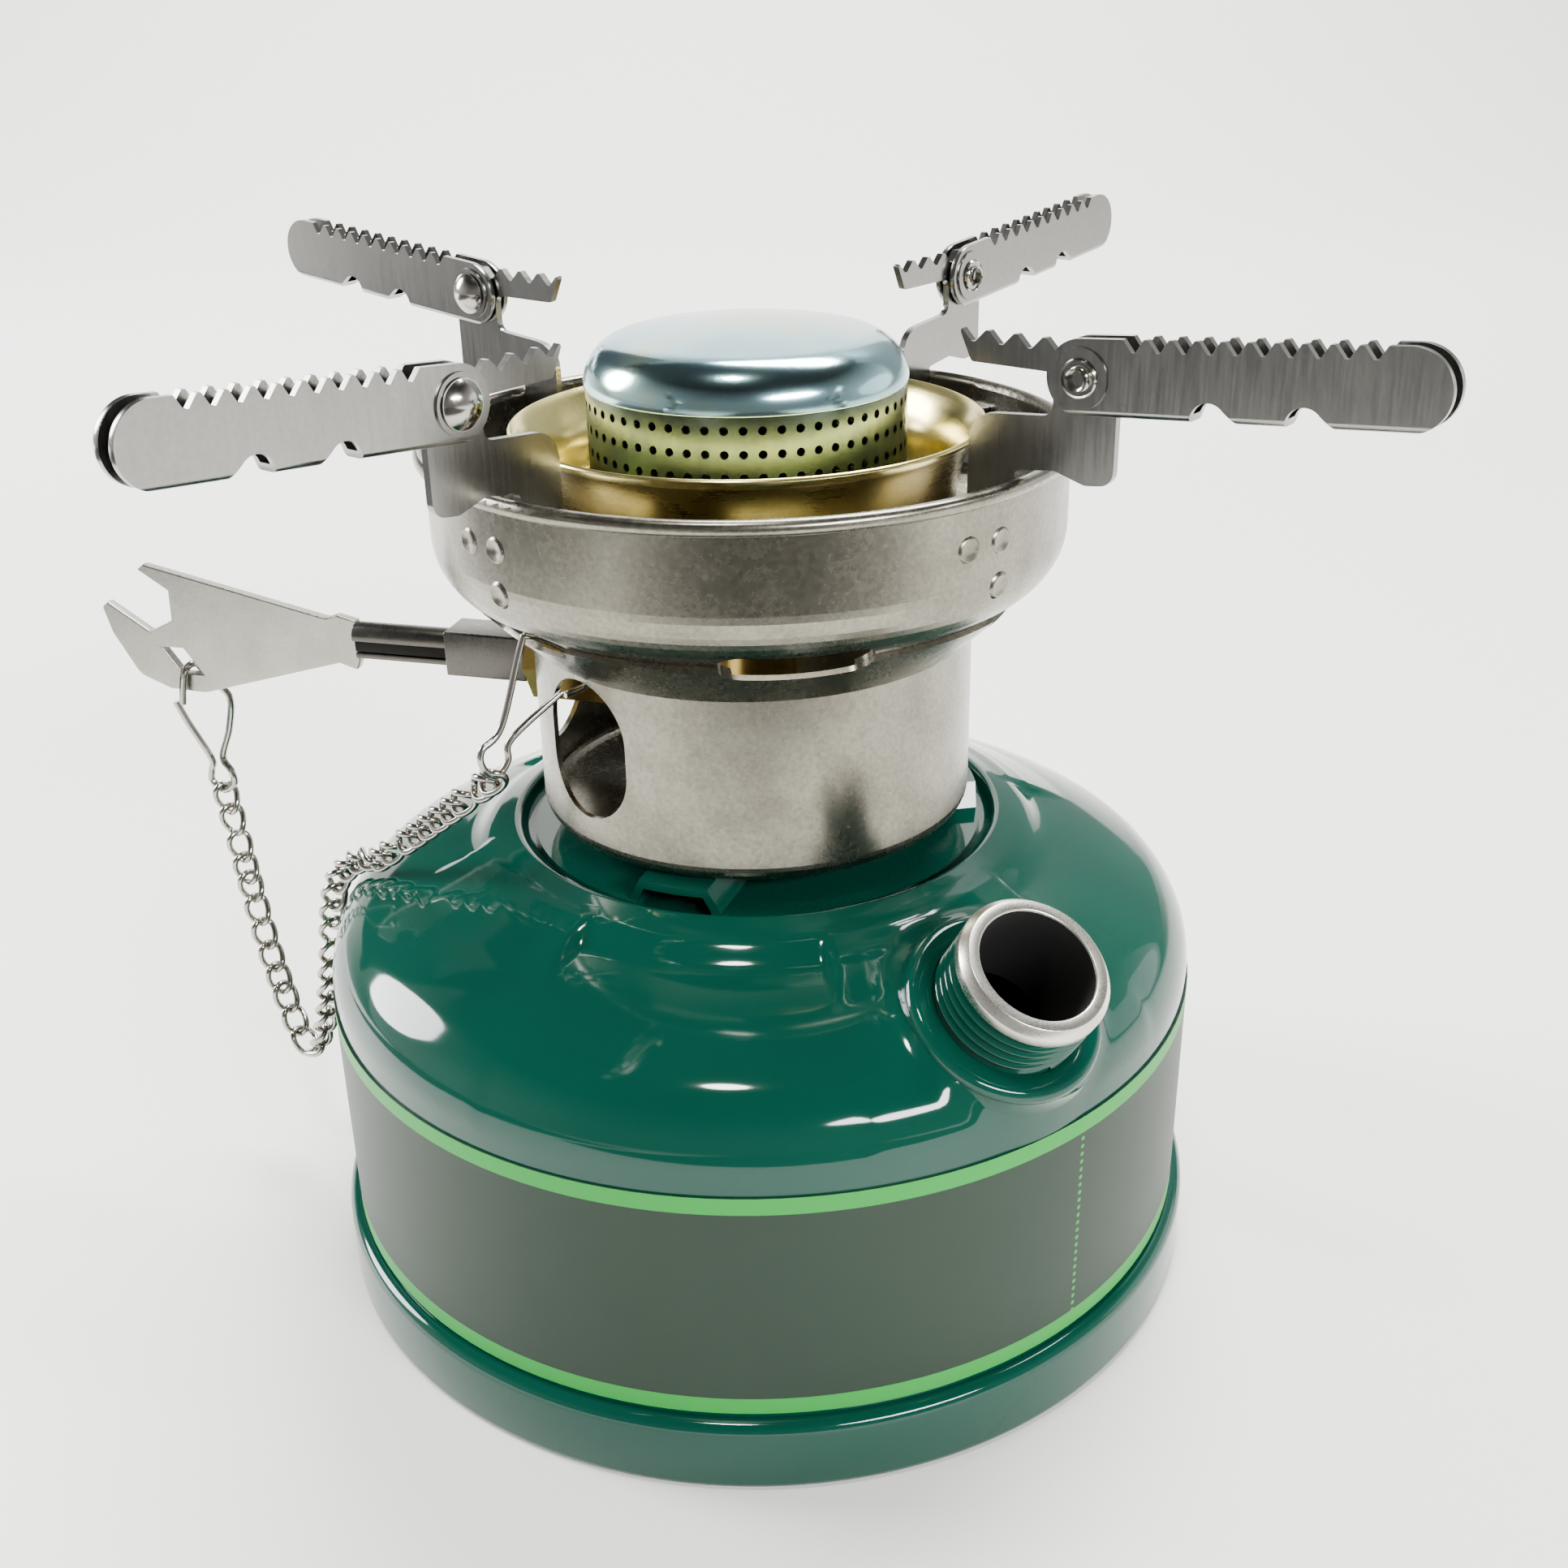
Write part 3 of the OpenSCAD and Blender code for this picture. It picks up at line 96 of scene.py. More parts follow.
def walled(path: Profile, thickness: float) -> Profile:
    """Closes an open path into the outline of a sheet.

    Args:
        path: Points along one face of the sheet, in mm.
        thickness: Distance to the other face, on the left of the path.

    Returns:
        The closed outline: along the path and back on the other face.
    """
    pts = [Vector(p) for p in path]
    back = []
    for i, p in enumerate(pts):
        ahead = pts[min(i + 1, len(pts) - 1)] - p
        behind = p - pts[max(i - 1, 0)]
        run = ahead.normalized() if ahead.length else behind.normalized()
        run = run + (behind.normalized() if behind.length else run)
        run.normalize()
        back.append((p.x - run.y * thickness, p.y + run.x * thickness))
    return path + back[::-1] + path[:1]


def smooth_path(points: Points, steps: int) -> Points:
    """Runs a smooth curve through points.

    Args:
        points: Points that the curve passes through, in mm.
        steps: Steps from each point to the next.

    Returns:
        Points along the curve, in mm.
    """
    p = [Vector(q) for q in points]
    out = []
    for k in range(len(p) - 1):
        # Each span from b to c is a cubic that also heeds the points before and after it
        a, b, c, d = p[max(k - 1, 0)], p[k], p[k + 1], p[min(k + 2, len(p) - 1)]
        for i in range(steps):
            t = i / steps
            q = 0.5 * (2 * b + (c - a) * t + (2 * a - 5 * b + 4 * c - d) * t ** 2
                       + (3 * b - a - 3 * c + d) * t ** 3)
            out.append(tuple(q))
    return out + [tuple(p[-1])]


def fade(x: float, low: float, high: float) -> float:
    """Returns a smooth step from 0 at low to 1 at high."""
    t = min(1.0, max(0.0, (x - low) / (high - low)))
    return t * t * (3 - 2 * t)


class Bench:
    """Modelling steps that the sub-assemblies share, each made with Blender's operators."""

    @staticmethod
    def clear() -> None:
        """Leaves edit mode and deselects everything."""
        if bpy.context.object and bpy.context.object.mode != "OBJECT":
            bpy.ops.object.mode_set(mode="OBJECT")
        bpy.ops.object.select_all(action="DESELECT")

    @staticmethod
    def pick(obj: bpy.types.Object) -> None:
        """Makes an object the only selected and active one.

        Args:
            obj: The object.
        """
        Bench.clear()
        obj.select_set(True)
        bpy.context.view_layer.objects.active = obj

    @staticmethod
    def close_up(merge: float) -> None:
        """Merges doubled points of the mesh in edit mode, turns its faces outwards and leaves edit mode.

        Args:
            merge: Points closer than this are merged, in metres.
        """
        bpy.ops.mesh.select_all(action="SELECT")
        bpy.ops.mesh.remove_doubles(threshold=merge)
        bpy.ops.mesh.normals_make_consistent(inside=False)
        bpy.ops.object.mode_set(mode="OBJECT")

    @staticmethod
    def modify(obj: bpy.types.Object, kind: str, **settings: object) -> None:
        """Adds a modifier to an object and applies it.

        Args:
            obj: The object.
            kind: Blender's name for the modifier's type.
            **settings: Properties of the modifier.
        """
        Bench.pick(obj)
        mod = obj.modifiers.new(kind, kind)
        for key, value in settings.items():
            setattr(mod, key, value)
        bpy.ops.object.modifier_apply(modifier=mod.name)

    @staticmethod
    def trace(name: str, points: Points) -> bpy.types.Object:
        """Starts a mesh as one vertex and draws it on as a line through points, in edit mode.

        Args:
            name: Name of the new object.
            points: Points of the line, in mm.

        Returns:
            The object, left in edit mode with every vertex selected.
        """
        Bench.clear()
        bpy.ops.mesh.primitive_plane_add(size=MM)
        obj = bpy.context.object
        obj.name = name
        bpy.ops.object.mode_set(mode="EDIT")
        bpy.ops.mesh.merge(type="CENTER")
        bpy.ops.transform.translate(value=tuple(c * MM for c in points[0]))
        for p, q in zip(points, points[1:]):
            step = tuple((b - a) * MM for a, b in zip(p, q))
            bpy.ops.mesh.extrude_vertices_move(TRANSFORM_OT_translate={"value": step})
        bpy.ops.mesh.select_all(action="SELECT")
        bpy.ops.mesh.remove_doubles(threshold=MERGE)
        return obj

    @staticmethod
    def lathe(name: str, profile: Profile, steps: int) -> bpy.types.Object:
        """Turns an outline round the Z axis.

        Args:
            name: Name of the new object.
            profile: Radius and height of the outline's points, in mm.
            steps: Facets round the axis.

        Returns:
            The turned object.
        """
        obj = Bench.trace(name, [(r, 0.0, z) for r, z in profile])
        bpy.ops.mesh.spin(steps=steps, angle=2 * math.pi, center=(0, 0, 0), axis=(0, 0, 1))
        Bench.close_up(POLE_MERGE)
        return obj

    @staticmethod
    def wire(name: str, points: Points, diameter: float) -> bpy.types.Object:
        """Bends a round wire along points.

        Args:
            name: Name of the new object.
            points: Points along the wire's middle, in mm.
            diameter: Wire diameter in mm.

        Returns:
            The wire as a mesh.
        """
        Bench.trace(name, points)
        bpy.ops.object.mode_set(mode="OBJECT")
        bpy.ops.object.convert(target="CURVE")
        curve = bpy.context.object.data
        curve.bevel_depth = diameter / 2 * MM
        curve.bevel_resolution = 4
        curve.use_fill_caps = True
        bpy.ops.object.convert(target="MESH")
        bpy.ops.object.mode_set(mode="EDIT")
        Bench.close_up(MERGE)
        return bpy.context.object

    @staticmethod
    def channel(name: str, section: Profile, x0: float, x1: float, wall: float) -> bpy.types.Object:
        """Folds a sheet whose section is an open line and that runs along X.

        Args:
            name: Name of the new object.
            section: Points across the sheet's middle: Y and Z in mm.
            x0: Start along X in mm.
            x1: End along X in mm.
            wall: Sheet thickness in mm.

        Returns:
            The folded sheet.
        """
        obj = Bench.trace(name, [(x0, y, z) for y, z in section])
        bpy.ops.mesh.extrude_region_move(TRANSFORM_OT_translate={"value": ((x1 - x0) * MM, 0, 0)})
        Bench.close_up(MERGE)
        Bench.modify(obj, "SOLIDIFY", thickness=wall * MM, offset=0)
        return obj

    @staticmethod
    def slab(name: str, low: tuple[float, ...], high: tuple[float, ...]) -> bpy.types.Object:
        """Cuts a block to size.

        Args:
            name: Name of the new object.
            low: Lowest corner in mm.
            high: Highest corner in mm.

        Returns:
            The block.
        """
        Bench.clear()
        bpy.ops.mesh.primitive_cube_add(size=1)
        obj = bpy.context.object
        obj.name = name
        size = [(b - a) * MM for a, b in zip(low, high)]
        middle = [(a + b) / 2 * MM for a, b in zip(low, high)]
        Bench.place(obj, Matrix.Translation(middle) @ Matrix.Diagonal((*size, 1)))
        return obj

    @staticmethod
    def socket(name: str, x0: float, x1: float, side: float, bore: float, floor: float) -> bpy.types.Object:
        """Makes a square socket along X, open at its start.

        Args:
            name: Name of the new object.
            x0: Start along X in mm.
            x1: End along X in mm.
            side: Outer side of the square in mm.
            bore: Inner side of the square in mm.
            floor: Thickness of the closed end in mm.

        Returns:
            The socket.
        """
        obj = Bench.slab(name, (x0, -side / 2, -side / 2), (x1, side / 2, side / 2))
        tool = Bench.slab("bore", (x0 - TOOL_PAST, -bore / 2, -bore / 2), (x1 - floor, bore / 2, bore / 2))
        Bench.modify(obj, "BOOLEAN", operation="DIFFERENCE", solver="EXACT", object=tool)
        bpy.data.objects.remove(tool)
        return obj

    @staticmethod
    def spare(name: str, mesh: bpy.types.Mesh) -> bpy.types.Object:
        """Puts a copy of a mesh into the scene.

        Args:
            name: Name of the new object.
            mesh: The mesh that is copied.

        Returns:
            The new object, at the origin and without a parent.
        """
        obj = bpy.data.objects.new(name, mesh.copy())
        bpy.context.scene.collection.objects.link(obj)
        return obj

    @staticmethod
    def copy_of(node: str, name: str) -> bpy.types.Object:
        """Copies a node's solid as a merged mesh that can be worked on.

        Args:
            node: Name of the node.
            name: Name of the copy.

        Returns:
            The copy.
        """
        Bench.clear()
        obj = Bench.spare(name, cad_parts[node].data)
        obj.data.materials.clear()
        Bench.pick(obj)
        bpy.ops.mesh.customdata_custom_splitnormals_clear()
        bpy.ops.object.mode_set(mode="EDIT")
        bpy.ops.mesh.select_all(action="SELECT")
        bpy.ops.mesh.remove_doubles(threshold=POLE_MERGE)
        bpy.ops.mesh.dissolve_limited(angle_limit=math.radians(FLAT_ANGLE))
        bpy.ops.object.mode_set(mode="OBJECT")
        return obj

    @staticmethod
    def copies(pattern: bpy.types.Object, places: list[Matrix]) -> Pieces:
        """Repeats a piece that is modelled once.

        Args:
            pattern: The piece, which is removed afterwards.
            places: Where each copy goes.

        Returns:
            The copies, each with a mesh of its own.
        """
        made = []
        for place in places:
            obj = Bench.spare(pattern.name, pattern.data)
            Bench.place(obj, place)
            made.append(obj)
        bpy.data.objects.remove(pattern)
        return made

    @staticmethod
    def round_edges(obj: bpy.types.Object, width: float, angle: float, segments: int = 2) -> None:
        """Rounds the sharp edges of a mesh.

        Args:
            obj: The mesh object.
            width: Width of the rounding in mm.
            angle: Edges turn by at least this much, in degrees.
            segments: Facets across the rounding.
        """
        Bench.modify(obj, "BEVEL", width=width * MM, segments=segments, limit_method="ANGLE",
                     angle_limit=math.radians(angle), harden_normals=False)

    @staticmethod
    def flatten(obj: bpy.types.Object) -> None:
        """Lets large faces rule the shading, so that a stamped plate looks flat between its edges."""
        Bench.modify(obj, "WEIGHTED_NORMAL", weight=80, keep_sharp=True)

    @staticmethod
    def place(obj: bpy.types.Object, matrix: Matrix) -> None:
        """Moves an object's mesh to its place and leaves the object at the origin.

        Args:
            obj: The object.
            matrix: Its place, in metres.
        """
        Bench.pick(obj)
        obj.matrix_world = matrix
        bpy.ops.object.transform_apply(location=True, rotation=True, scale=True)

    @staticmethod
    def join(name: str, objs: Pieces) -> bpy.types.Object:
        """Joins objects into one.

        Args:
            name: Name of the whole.
            objs: The objects.

        Returns:
            The whole.
        """
        Bench.clear()
        for obj in objs:
            obj.select_set(True)
        bpy.context.view_layer.objects.active = objs[0]
        bpy.ops.object.join()
        objs[0].name = name
        return objs[0]


def linear(code: str) -> tuple[float, float, float, float]:
    """Turns an sRGB hex colour into a linear one.

    Args:
        code: Colour as "#RRGGBB".

    Returns:
        Linear red, green, blue and an alpha of 1.
    """
    parts = [int(code[i:i + 2], 16) / 255 for i in (1, 3, 5)]
    rgb = [c / 12.92 if c <= 0.04045 else ((c + 0.055) / 1.055) ** 2.4 for c in parts]
    return (*rgb, 1.0)


def add(tree: bpy.types.NodeTree, kind: str, inputs: dict[str | int, object] | None = None,
        **settings: object) -> bpy.types.Node:
    """Adds a node with its settings, values and links.

    Args:
        tree: The node tree.
        kind: Blender's name for the node's type.
        inputs: Value or source socket for each input, by name or index.
        **settings: Properties of the node.

    Returns:
        The new node.
    """
    node = tree.nodes.new(kind)
    for key, value in settings.items():
        setattr(node, key, value)
    for key, value in (inputs or {}).items():
        if isinstance(value, bpy.types.NodeSocket):
            tree.links.new(value, node.inputs[key])
        else:
            node.inputs[key].default_value = value
    return node


class Grain(Enum):
    """Way that the fine marks run on a sheet."""

    ROUND = "round the stove's axis"
    ACROSS = "up and down on upright plates"
    NONE = "no set way"


@dataclass(frozen=True)
class Finish:
    """A matt finish with one base colour and a fine grit. Its subclasses show other surfaces.

    Sizes of patterns are in millimetres in every finish.
    """

    name: str
    base: str
    roughness: float = 0.3
    metallic: float = 0.0
    grit: float = 0.5

    def material(self) -> bpy.types.Material:
        """Makes the finish's material on first use.

        Returns:
            The material.
        """
        found = bpy.data.materials.get(self.name)
        if found:
            return found
        made = bpy.data.materials.new(self.name)
        made.use_nodes = True
        tree = made.node_tree
        tree.nodes.clear()
        shader = add(tree, "ShaderNodeBsdfPrincipled", {
            "Base Color": linear(self.base), "Roughness": self.roughness, "Metallic": self.metallic})
        add(tree, "ShaderNodeOutputMaterial", {"Surface": shader.outputs["BSDF"]})
        place = add(tree, "ShaderNodeTexCoord").outputs["Object"]
        self.detail(tree, shader, place)
        return made

    def detail(self, tree: bpy.types.NodeTree, shader: bpy.types.Node, place: bpy.types.NodeSocket) -> None:
        """Adds what the surface shows beyond its colour: here the grit.

        Args:
            tree: The material's node tree.
            shader: Its surface shader.
            place: Object coordinates, in metres.
        """
        noise = add(tree, "ShaderNodeTexNoise", {
            "Vector": place, "Scale": 1 / (self.grit * MM), "Detail": 3.0})
        bump = add(tree, "ShaderNodeBump", {
            "Height": noise.outputs["Fac"], "Strength": 0.15, "Distance": 0.05 * MM})
        tree.links.new(bump.outputs["Normal"], shader.inputs["Normal"])


@dataclass(frozen=True)
class Enamel(Finish):
    """Stoved gloss enamel on drawn sheet: a deep colour under a clear, slightly wavy skin."""

    skin: float = 0.06
    skin_roughness: float = 0.03
    ior: float = 1.41
    peel: float = 5.0
    cloud: float = 30.0
    cloud_swing: float = 0.1

    def detail(self, tree: bpy.types.NodeTree, shader: bpy.types.Node, place: bpy.types.NodeSocket) -> None:
        """Adds the clear skin with its orange peel, and the coat's thin and thick places.

        Args:
            tree: The material's node tree.
            shader: Its surface shader.
            place: Object coordinates, in metres.
        """
        shader.inputs["Coat Weight"].default_value = self.skin
        shader.inputs["Coat Roughness"].default_value = self.skin_roughness
        shader.inputs["IOR"].default_value = self.ior
        peel = add(tree, "ShaderNodeTexNoise", {
            "Vector": place, "Scale": 1 / (self.peel * MM), "Detail": 1.0})
        bump = add(tree, "ShaderNodeBump", {
            "Height": peel.outputs["Fac"], "Strength": 0.06, "Distance": 0.2 * MM})
        tree.links.new(bump.outputs["Normal"], shader.inputs["Normal"])
        tree.links.new(bump.outputs["Normal"], shader.inputs["Coat Normal"])
        # Thin and thick places of the coat shift the green a little
        cloud = add(tree, "ShaderNodeTexNoise", {
            "Vector": place, "Scale": 1 / (self.cloud * MM), "Detail": 2.0})
        value = add(tree, "ShaderNodeMapRange", {
            "Value": cloud.outputs["Fac"], "To Min": 1 - self.cloud_swing, "To Max": 1 + self.cloud_swing})
        tone = add(tree, "ShaderNodeHueSaturation", {
            "Color": linear(self.base), "Value": value.outputs["Result"]})
        tree.links.new(tone.outputs["Color"], shader.inputs["Base Color"])


@dataclass(frozen=True)
class PrintedFilm(Finish):
    """Printed film round the tank: a dull field between two bright stripes, and a row of dots."""

    stripe: str = "#1E8E34"
    bottom: float = 11.4
    top: float = 44.7
    stripe_w: float = 2.4
    radius: float = 62.3
    dots_az: float = -55.0
    dot: float = 0.62
    dot_pitch: float = 1.2
    ink_cloud: float = 12.0
    ink_swing: float = 0.08
    wave: float = 9.0
    shine: float = 0.25

    def detail(self, tree: bpy.types.NodeTree, shader: bpy.types.Node, place: bpy.types.NodeSocket) -> None:
        """Adds the print, uneven ink and the small waves of the sheet below the film.

        Args:
            tree: The material's node tree.
            shader: Its surface shader.
            place: Object coordinates, in metres.
        """
        cloud = add(tree, "ShaderNodeTexNoise", {
            "Vector": place, "Scale": 1 / (self.ink_cloud * MM), "Detail": 3.0})
        value = add(tree, "ShaderNodeMapRange", {
            "Value": cloud.outputs["Fac"], "To Min": 1 - self.ink_swing, "To Max": 1 + self.ink_swing})
        field = add(tree, "ShaderNodeHueSaturation", {
            "Color": linear(self.base), "Value": value.outputs["Result"]})
        mask = self.print_mask(tree, place)
        ink = add(tree, "ShaderNodeMix", {0: mask, 6: field.outputs["Color"], 7: linear(self.stripe)},
                  data_type="RGBA")
        tree.links.new(ink.outputs[2], shader.inputs["Base Color"])
        shader.inputs["Specular IOR Level"].default_value = self.shine
        wave = add(tree, "ShaderNodeTexNoise", {
            "Vector": place, "Scale": 1 / (self.wave * MM), "Detail": 1.0})
        bump = add(tree, "ShaderNodeBump", {
            "Height": wave.outputs["Fac"], "Strength": 0.05, "Distance": 0.2 * MM})
        tree.links.new(bump.outputs["Normal"], shader.inputs["Normal"])

    def print_mask(self, tree: bpy.types.NodeTree, place: bpy.types.NodeSocket) -> bpy.types.NodeSocket:
        """Draws the stripes by height, and the dots by height and azimuth.

        Args:
            tree: The material's node tree.
            place: Object coordinates, in metres.

        Returns:
            A socket that is 1 on the print and 0 beside it.
        """
        xyz = add(tree, "ShaderNodeSeparateXYZ", {"Vector": place}).outputs
        half = self.stripe_w / 2
        low, high = (add(tree, "ShaderNodeMath", {0: xyz["Z"], 1: z * MM, 2: half * MM}, operation="COMPARE")
                     for z in (self.bottom + half, self.top - half))
        stripes = add(tree, "ShaderNodeMath", {0: low.outputs[0], 1: high.outputs[0]}, operation="MAXIMUM")
        # The dots stand one above another, at one azimuth
        turn = add(tree, "ShaderNodeMath", {0: xyz["Y"], 1: xyz["X"]}, operation="ARCTAN2")
        offset = -math.radians(self.dots_az) * self.radius * MM
        across = add(tree, "ShaderNodeMath", {0: turn.outputs[0], 1: self.radius * MM, 2: offset},
                     operation="MULTIPLY_ADD")
        step = add(tree, "ShaderNodeMath", {0: xyz["Z"], 1: self.dot_pitch * MM}, operation="FLOORED_MODULO")
        along = add(tree, "ShaderNodeMath", {0: step.outputs[0], 1: self.dot_pitch / 2 * MM},
                    operation="SUBTRACT")
        spot = add(tree, "ShaderNodeCombineXYZ", {"X": across.outputs[0], "Y": along.outputs[0]})
        apart = add(tree, "ShaderNodeVectorMath", {0: spot.outputs[0]}, operation="LENGTH")
        dots = add(tree, "ShaderNodeMath", {0: apart.outputs["Value"], 1: self.dot / 2 * MM},
                   operation="LESS_THAN")
        mask = add(tree, "ShaderNodeMath", {0: stripes.outputs[0], 1: dots.outputs[0]}, operation="MAXIMUM")
        return mask.outputs[0]


@dataclass(frozen=True)
class SheetMetal(Finish):
    """Rolled or drawn sheet: a satin metal with fine drawing marks, dull patches and stains."""

    metallic: float = 1.0
    # As coarse as the render can show: the real skin is finer
    grit: float = 0.6
    stain: str = "#6F6A61"
    stain_share: float = 0.25
    stain_size: float = 7.0
    stain_dulls: float = 0.25
    grain: Grain = Grain.ROUND
    mark: float = 0.35
    mark_run: float = 9.0
    mark_turn: float = 35.81
    spread: float = 0.06
    speckle: float = 0.05

    def lanes(self, tree: bpy.types.NodeTree, place: bpy.types.NodeSocket) -> bpy.types.NodeSocket:
        """Stretches the coordinates, so that noise in them makes marks along the grain.

        Args:
            tree: The material's node tree.
            place: Object coordinates, in metres.

        Returns:
            Coordinates in which a mark is one unit long and wide.
        """
        across = 1 / (self.mark * MM)
        if self.grain is Grain.NONE:
            even = add(tree, "ShaderNodeVectorMath", {0: place, 1: (across,) * 3}, operation="MULTIPLY")
            return even.outputs["Vector"]
        xyz = add(tree, "ShaderNodeSeparateXYZ", {"Vector": place}).outputs
        flat = add(tree, "ShaderNodeCombineXYZ", {"X": xyz["X"], "Y": xyz["Y"]})
        radius = add(tree, "ShaderNodeVectorMath", {0: flat.outputs[0]}, operation="LENGTH").outputs["Value"]
        turn = add(tree, "ShaderNodeMath", {0: xyz["Y"], 1: xyz["X"]}, operation="ARCTAN2").outputs[0]
        if self.grain is Grain.ROUND:
            around = 1 / math.radians(self.mark_turn)
            scales = {"X": (turn, around), "Y": (xyz["Z"], across), "Z": (radius, across)}
        else:
            scales = {"X": (radius, across), "Y": (xyz["Z"], 1 / (self.mark_run * MM)), "Z": (turn, 1.0)}
        sides = {side: add(tree, "ShaderNodeMath", {0: source, 1: scale}, operation="MULTIPLY").outputs[0]
                 for side, (source, scale) in scales.items()}
        return add(tree, "ShaderNodeCombineXYZ", sides).outputs[0]

    def detail(self, tree: bpy.types.NodeTree, shader: bpy.types.Node, place: bpy.types.NodeSocket) -> None:
        """Adds stains, the speckle of the rolled skin and marks along the grain.

        Args:
            tree: The material's node tree.
            shader: Its surface shader.
            place: Object coordinates, in metres.
        """
        cloud = add(tree, "ShaderNodeTexNoise", {
            "Vector": place, "Scale": 1 / (self.stain_size * MM), "Detail": 4.0, "Roughness": 0.55})
        dull = add(tree, "ShaderNodeMapRange", {
            "Value": cloud.outputs["Fac"], "From Min": 0.4, "From Max": 0.8,
            "To Min": 0.0, "To Max": self.stain_share}).outputs["Result"]
        tint = add(tree, "ShaderNodeMix", {0: dull, 6: linear(self.base), 7: linear(self.stain)},
                   data_type="RGBA")
        grit = add(tree, "ShaderNodeTexNoise", {
            "Vector": place, "Scale": 1 / (self.grit * MM), "Detail": 2.0})
        value = add(tree, "ShaderNodeMapRange", {
            "Value": grit.outputs["Fac"], "From Min": NOISE_LOW, "From Max": NOISE_HIGH,
            "To Min": 1 - self.speckle, "To Max": 1 + self.speckle})
        skin = add(tree, "ShaderNodeHueSaturation", {
            "Color": tint.outputs[2], "Value": value.outputs["Result"]})
        tree.links.new(skin.outputs["Color"], shader.inputs["Base Color"])
        marks = add(tree, "ShaderNodeTexNoise", {
            "Vector": self.lanes(tree, place), "Scale": 1.0, "Detail": 4.0, "Roughness": 0.6}).outputs["Fac"]
        gloss = add(tree, "ShaderNodeMapRange", {
            "Value": marks, "From Min": NOISE_LOW, "From Max": NOISE_HIGH,
            "To Min": self.roughness - self.spread / 2, "To Max": self.roughness + self.spread / 2})
        rough = add(tree, "ShaderNodeMath", {0: dull, 1: self.stain_dulls, 2: gloss.outputs["Result"]},
                    operation="MULTIPLY_ADD", use_clamp=True)
        tree.links.new(rough.outputs[0], shader.inputs["Roughness"])
        bump = add(tree, "ShaderNodeBump", {"Height": marks, "Strength": 0.08, "Distance": 0.03 * MM})
        tree.links.new(bump.outputs["Normal"], shader.inputs["Normal"])


@dataclass(frozen=True)
class PassivatedZinc(Finish):
    """Zinc plate with a passivated film: bluish, with warm and cold clouds and small pits."""

    metallic: float = 1.0
    warm: str = "#6E7A5C"
    cold: str = "#5F7078"
    cloud: float = 16.0
    pit: float = 0.8
    low_z: float = 0.0
    high_z: float = 0.0
    low_tint: str = "#4D5841"
    low_share: float = 0.92
    high_share: float = 0.25

    def detail(self, tree: bpy.types.NodeTree, shader: bpy.types.Node, place: bpy.types.NodeSocket) -> None:
        """Adds the film's clouds, a tint by height where one is given, and pits.

        Args:
            tree: The material's node tree.
            shader: Its surface shader.
            place: Object coordinates, in metres.
        """
        cloud = add(tree, "ShaderNodeTexNoise", {
            "Vector": place, "Scale": 1 / (self.cloud * MM), "Detail": 4.0, "Roughness": 0.55})
        ramp = add(tree, "ShaderNodeValToRGB", {"Fac": cloud.outputs["Fac"]})
        stops = ramp.color_ramp.elements
        stops.new(0.5)
        for stop, at, code in zip(stops, (0.36, 0.5, 0.68), (self.cold, self.base, self.warm)):
            stop.position = at
            stop.color = linear(code)
        colour = ramp.outputs["Color"]
        if self.high_z > self.low_z:
            height = add(tree, "ShaderNodeSeparateXYZ", {"Vector": place}).outputs["Z"]
            share = add(tree, "ShaderNodeMapRange", {
                "Value": height, "From Min": self.low_z * MM, "From Max": self.high_z * MM,
                "To Min": self.low_share, "To Max": self.high_share})
            mixed = add(tree, "ShaderNodeMix", {
                0: share.outputs["Result"], 6: colour, 7: linear(self.low_tint)}, data_type="RGBA")
            colour = mixed.outputs[2]
        tree.links.new(colour, shader.inputs["Base Color"])
        pits = add(tree, "ShaderNodeTexNoise", {"Vector": place, "Scale": 1 / (self.pit * MM), "Detail": 2.0})
        bump = add(tree, "ShaderNodeBump", {
            "Height": pits.outputs["Fac"], "Strength": 0.14, "Distance": 0.05 * MM})
        tree.links.new(bump.outputs["Normal"], shader.inputs["Normal"])


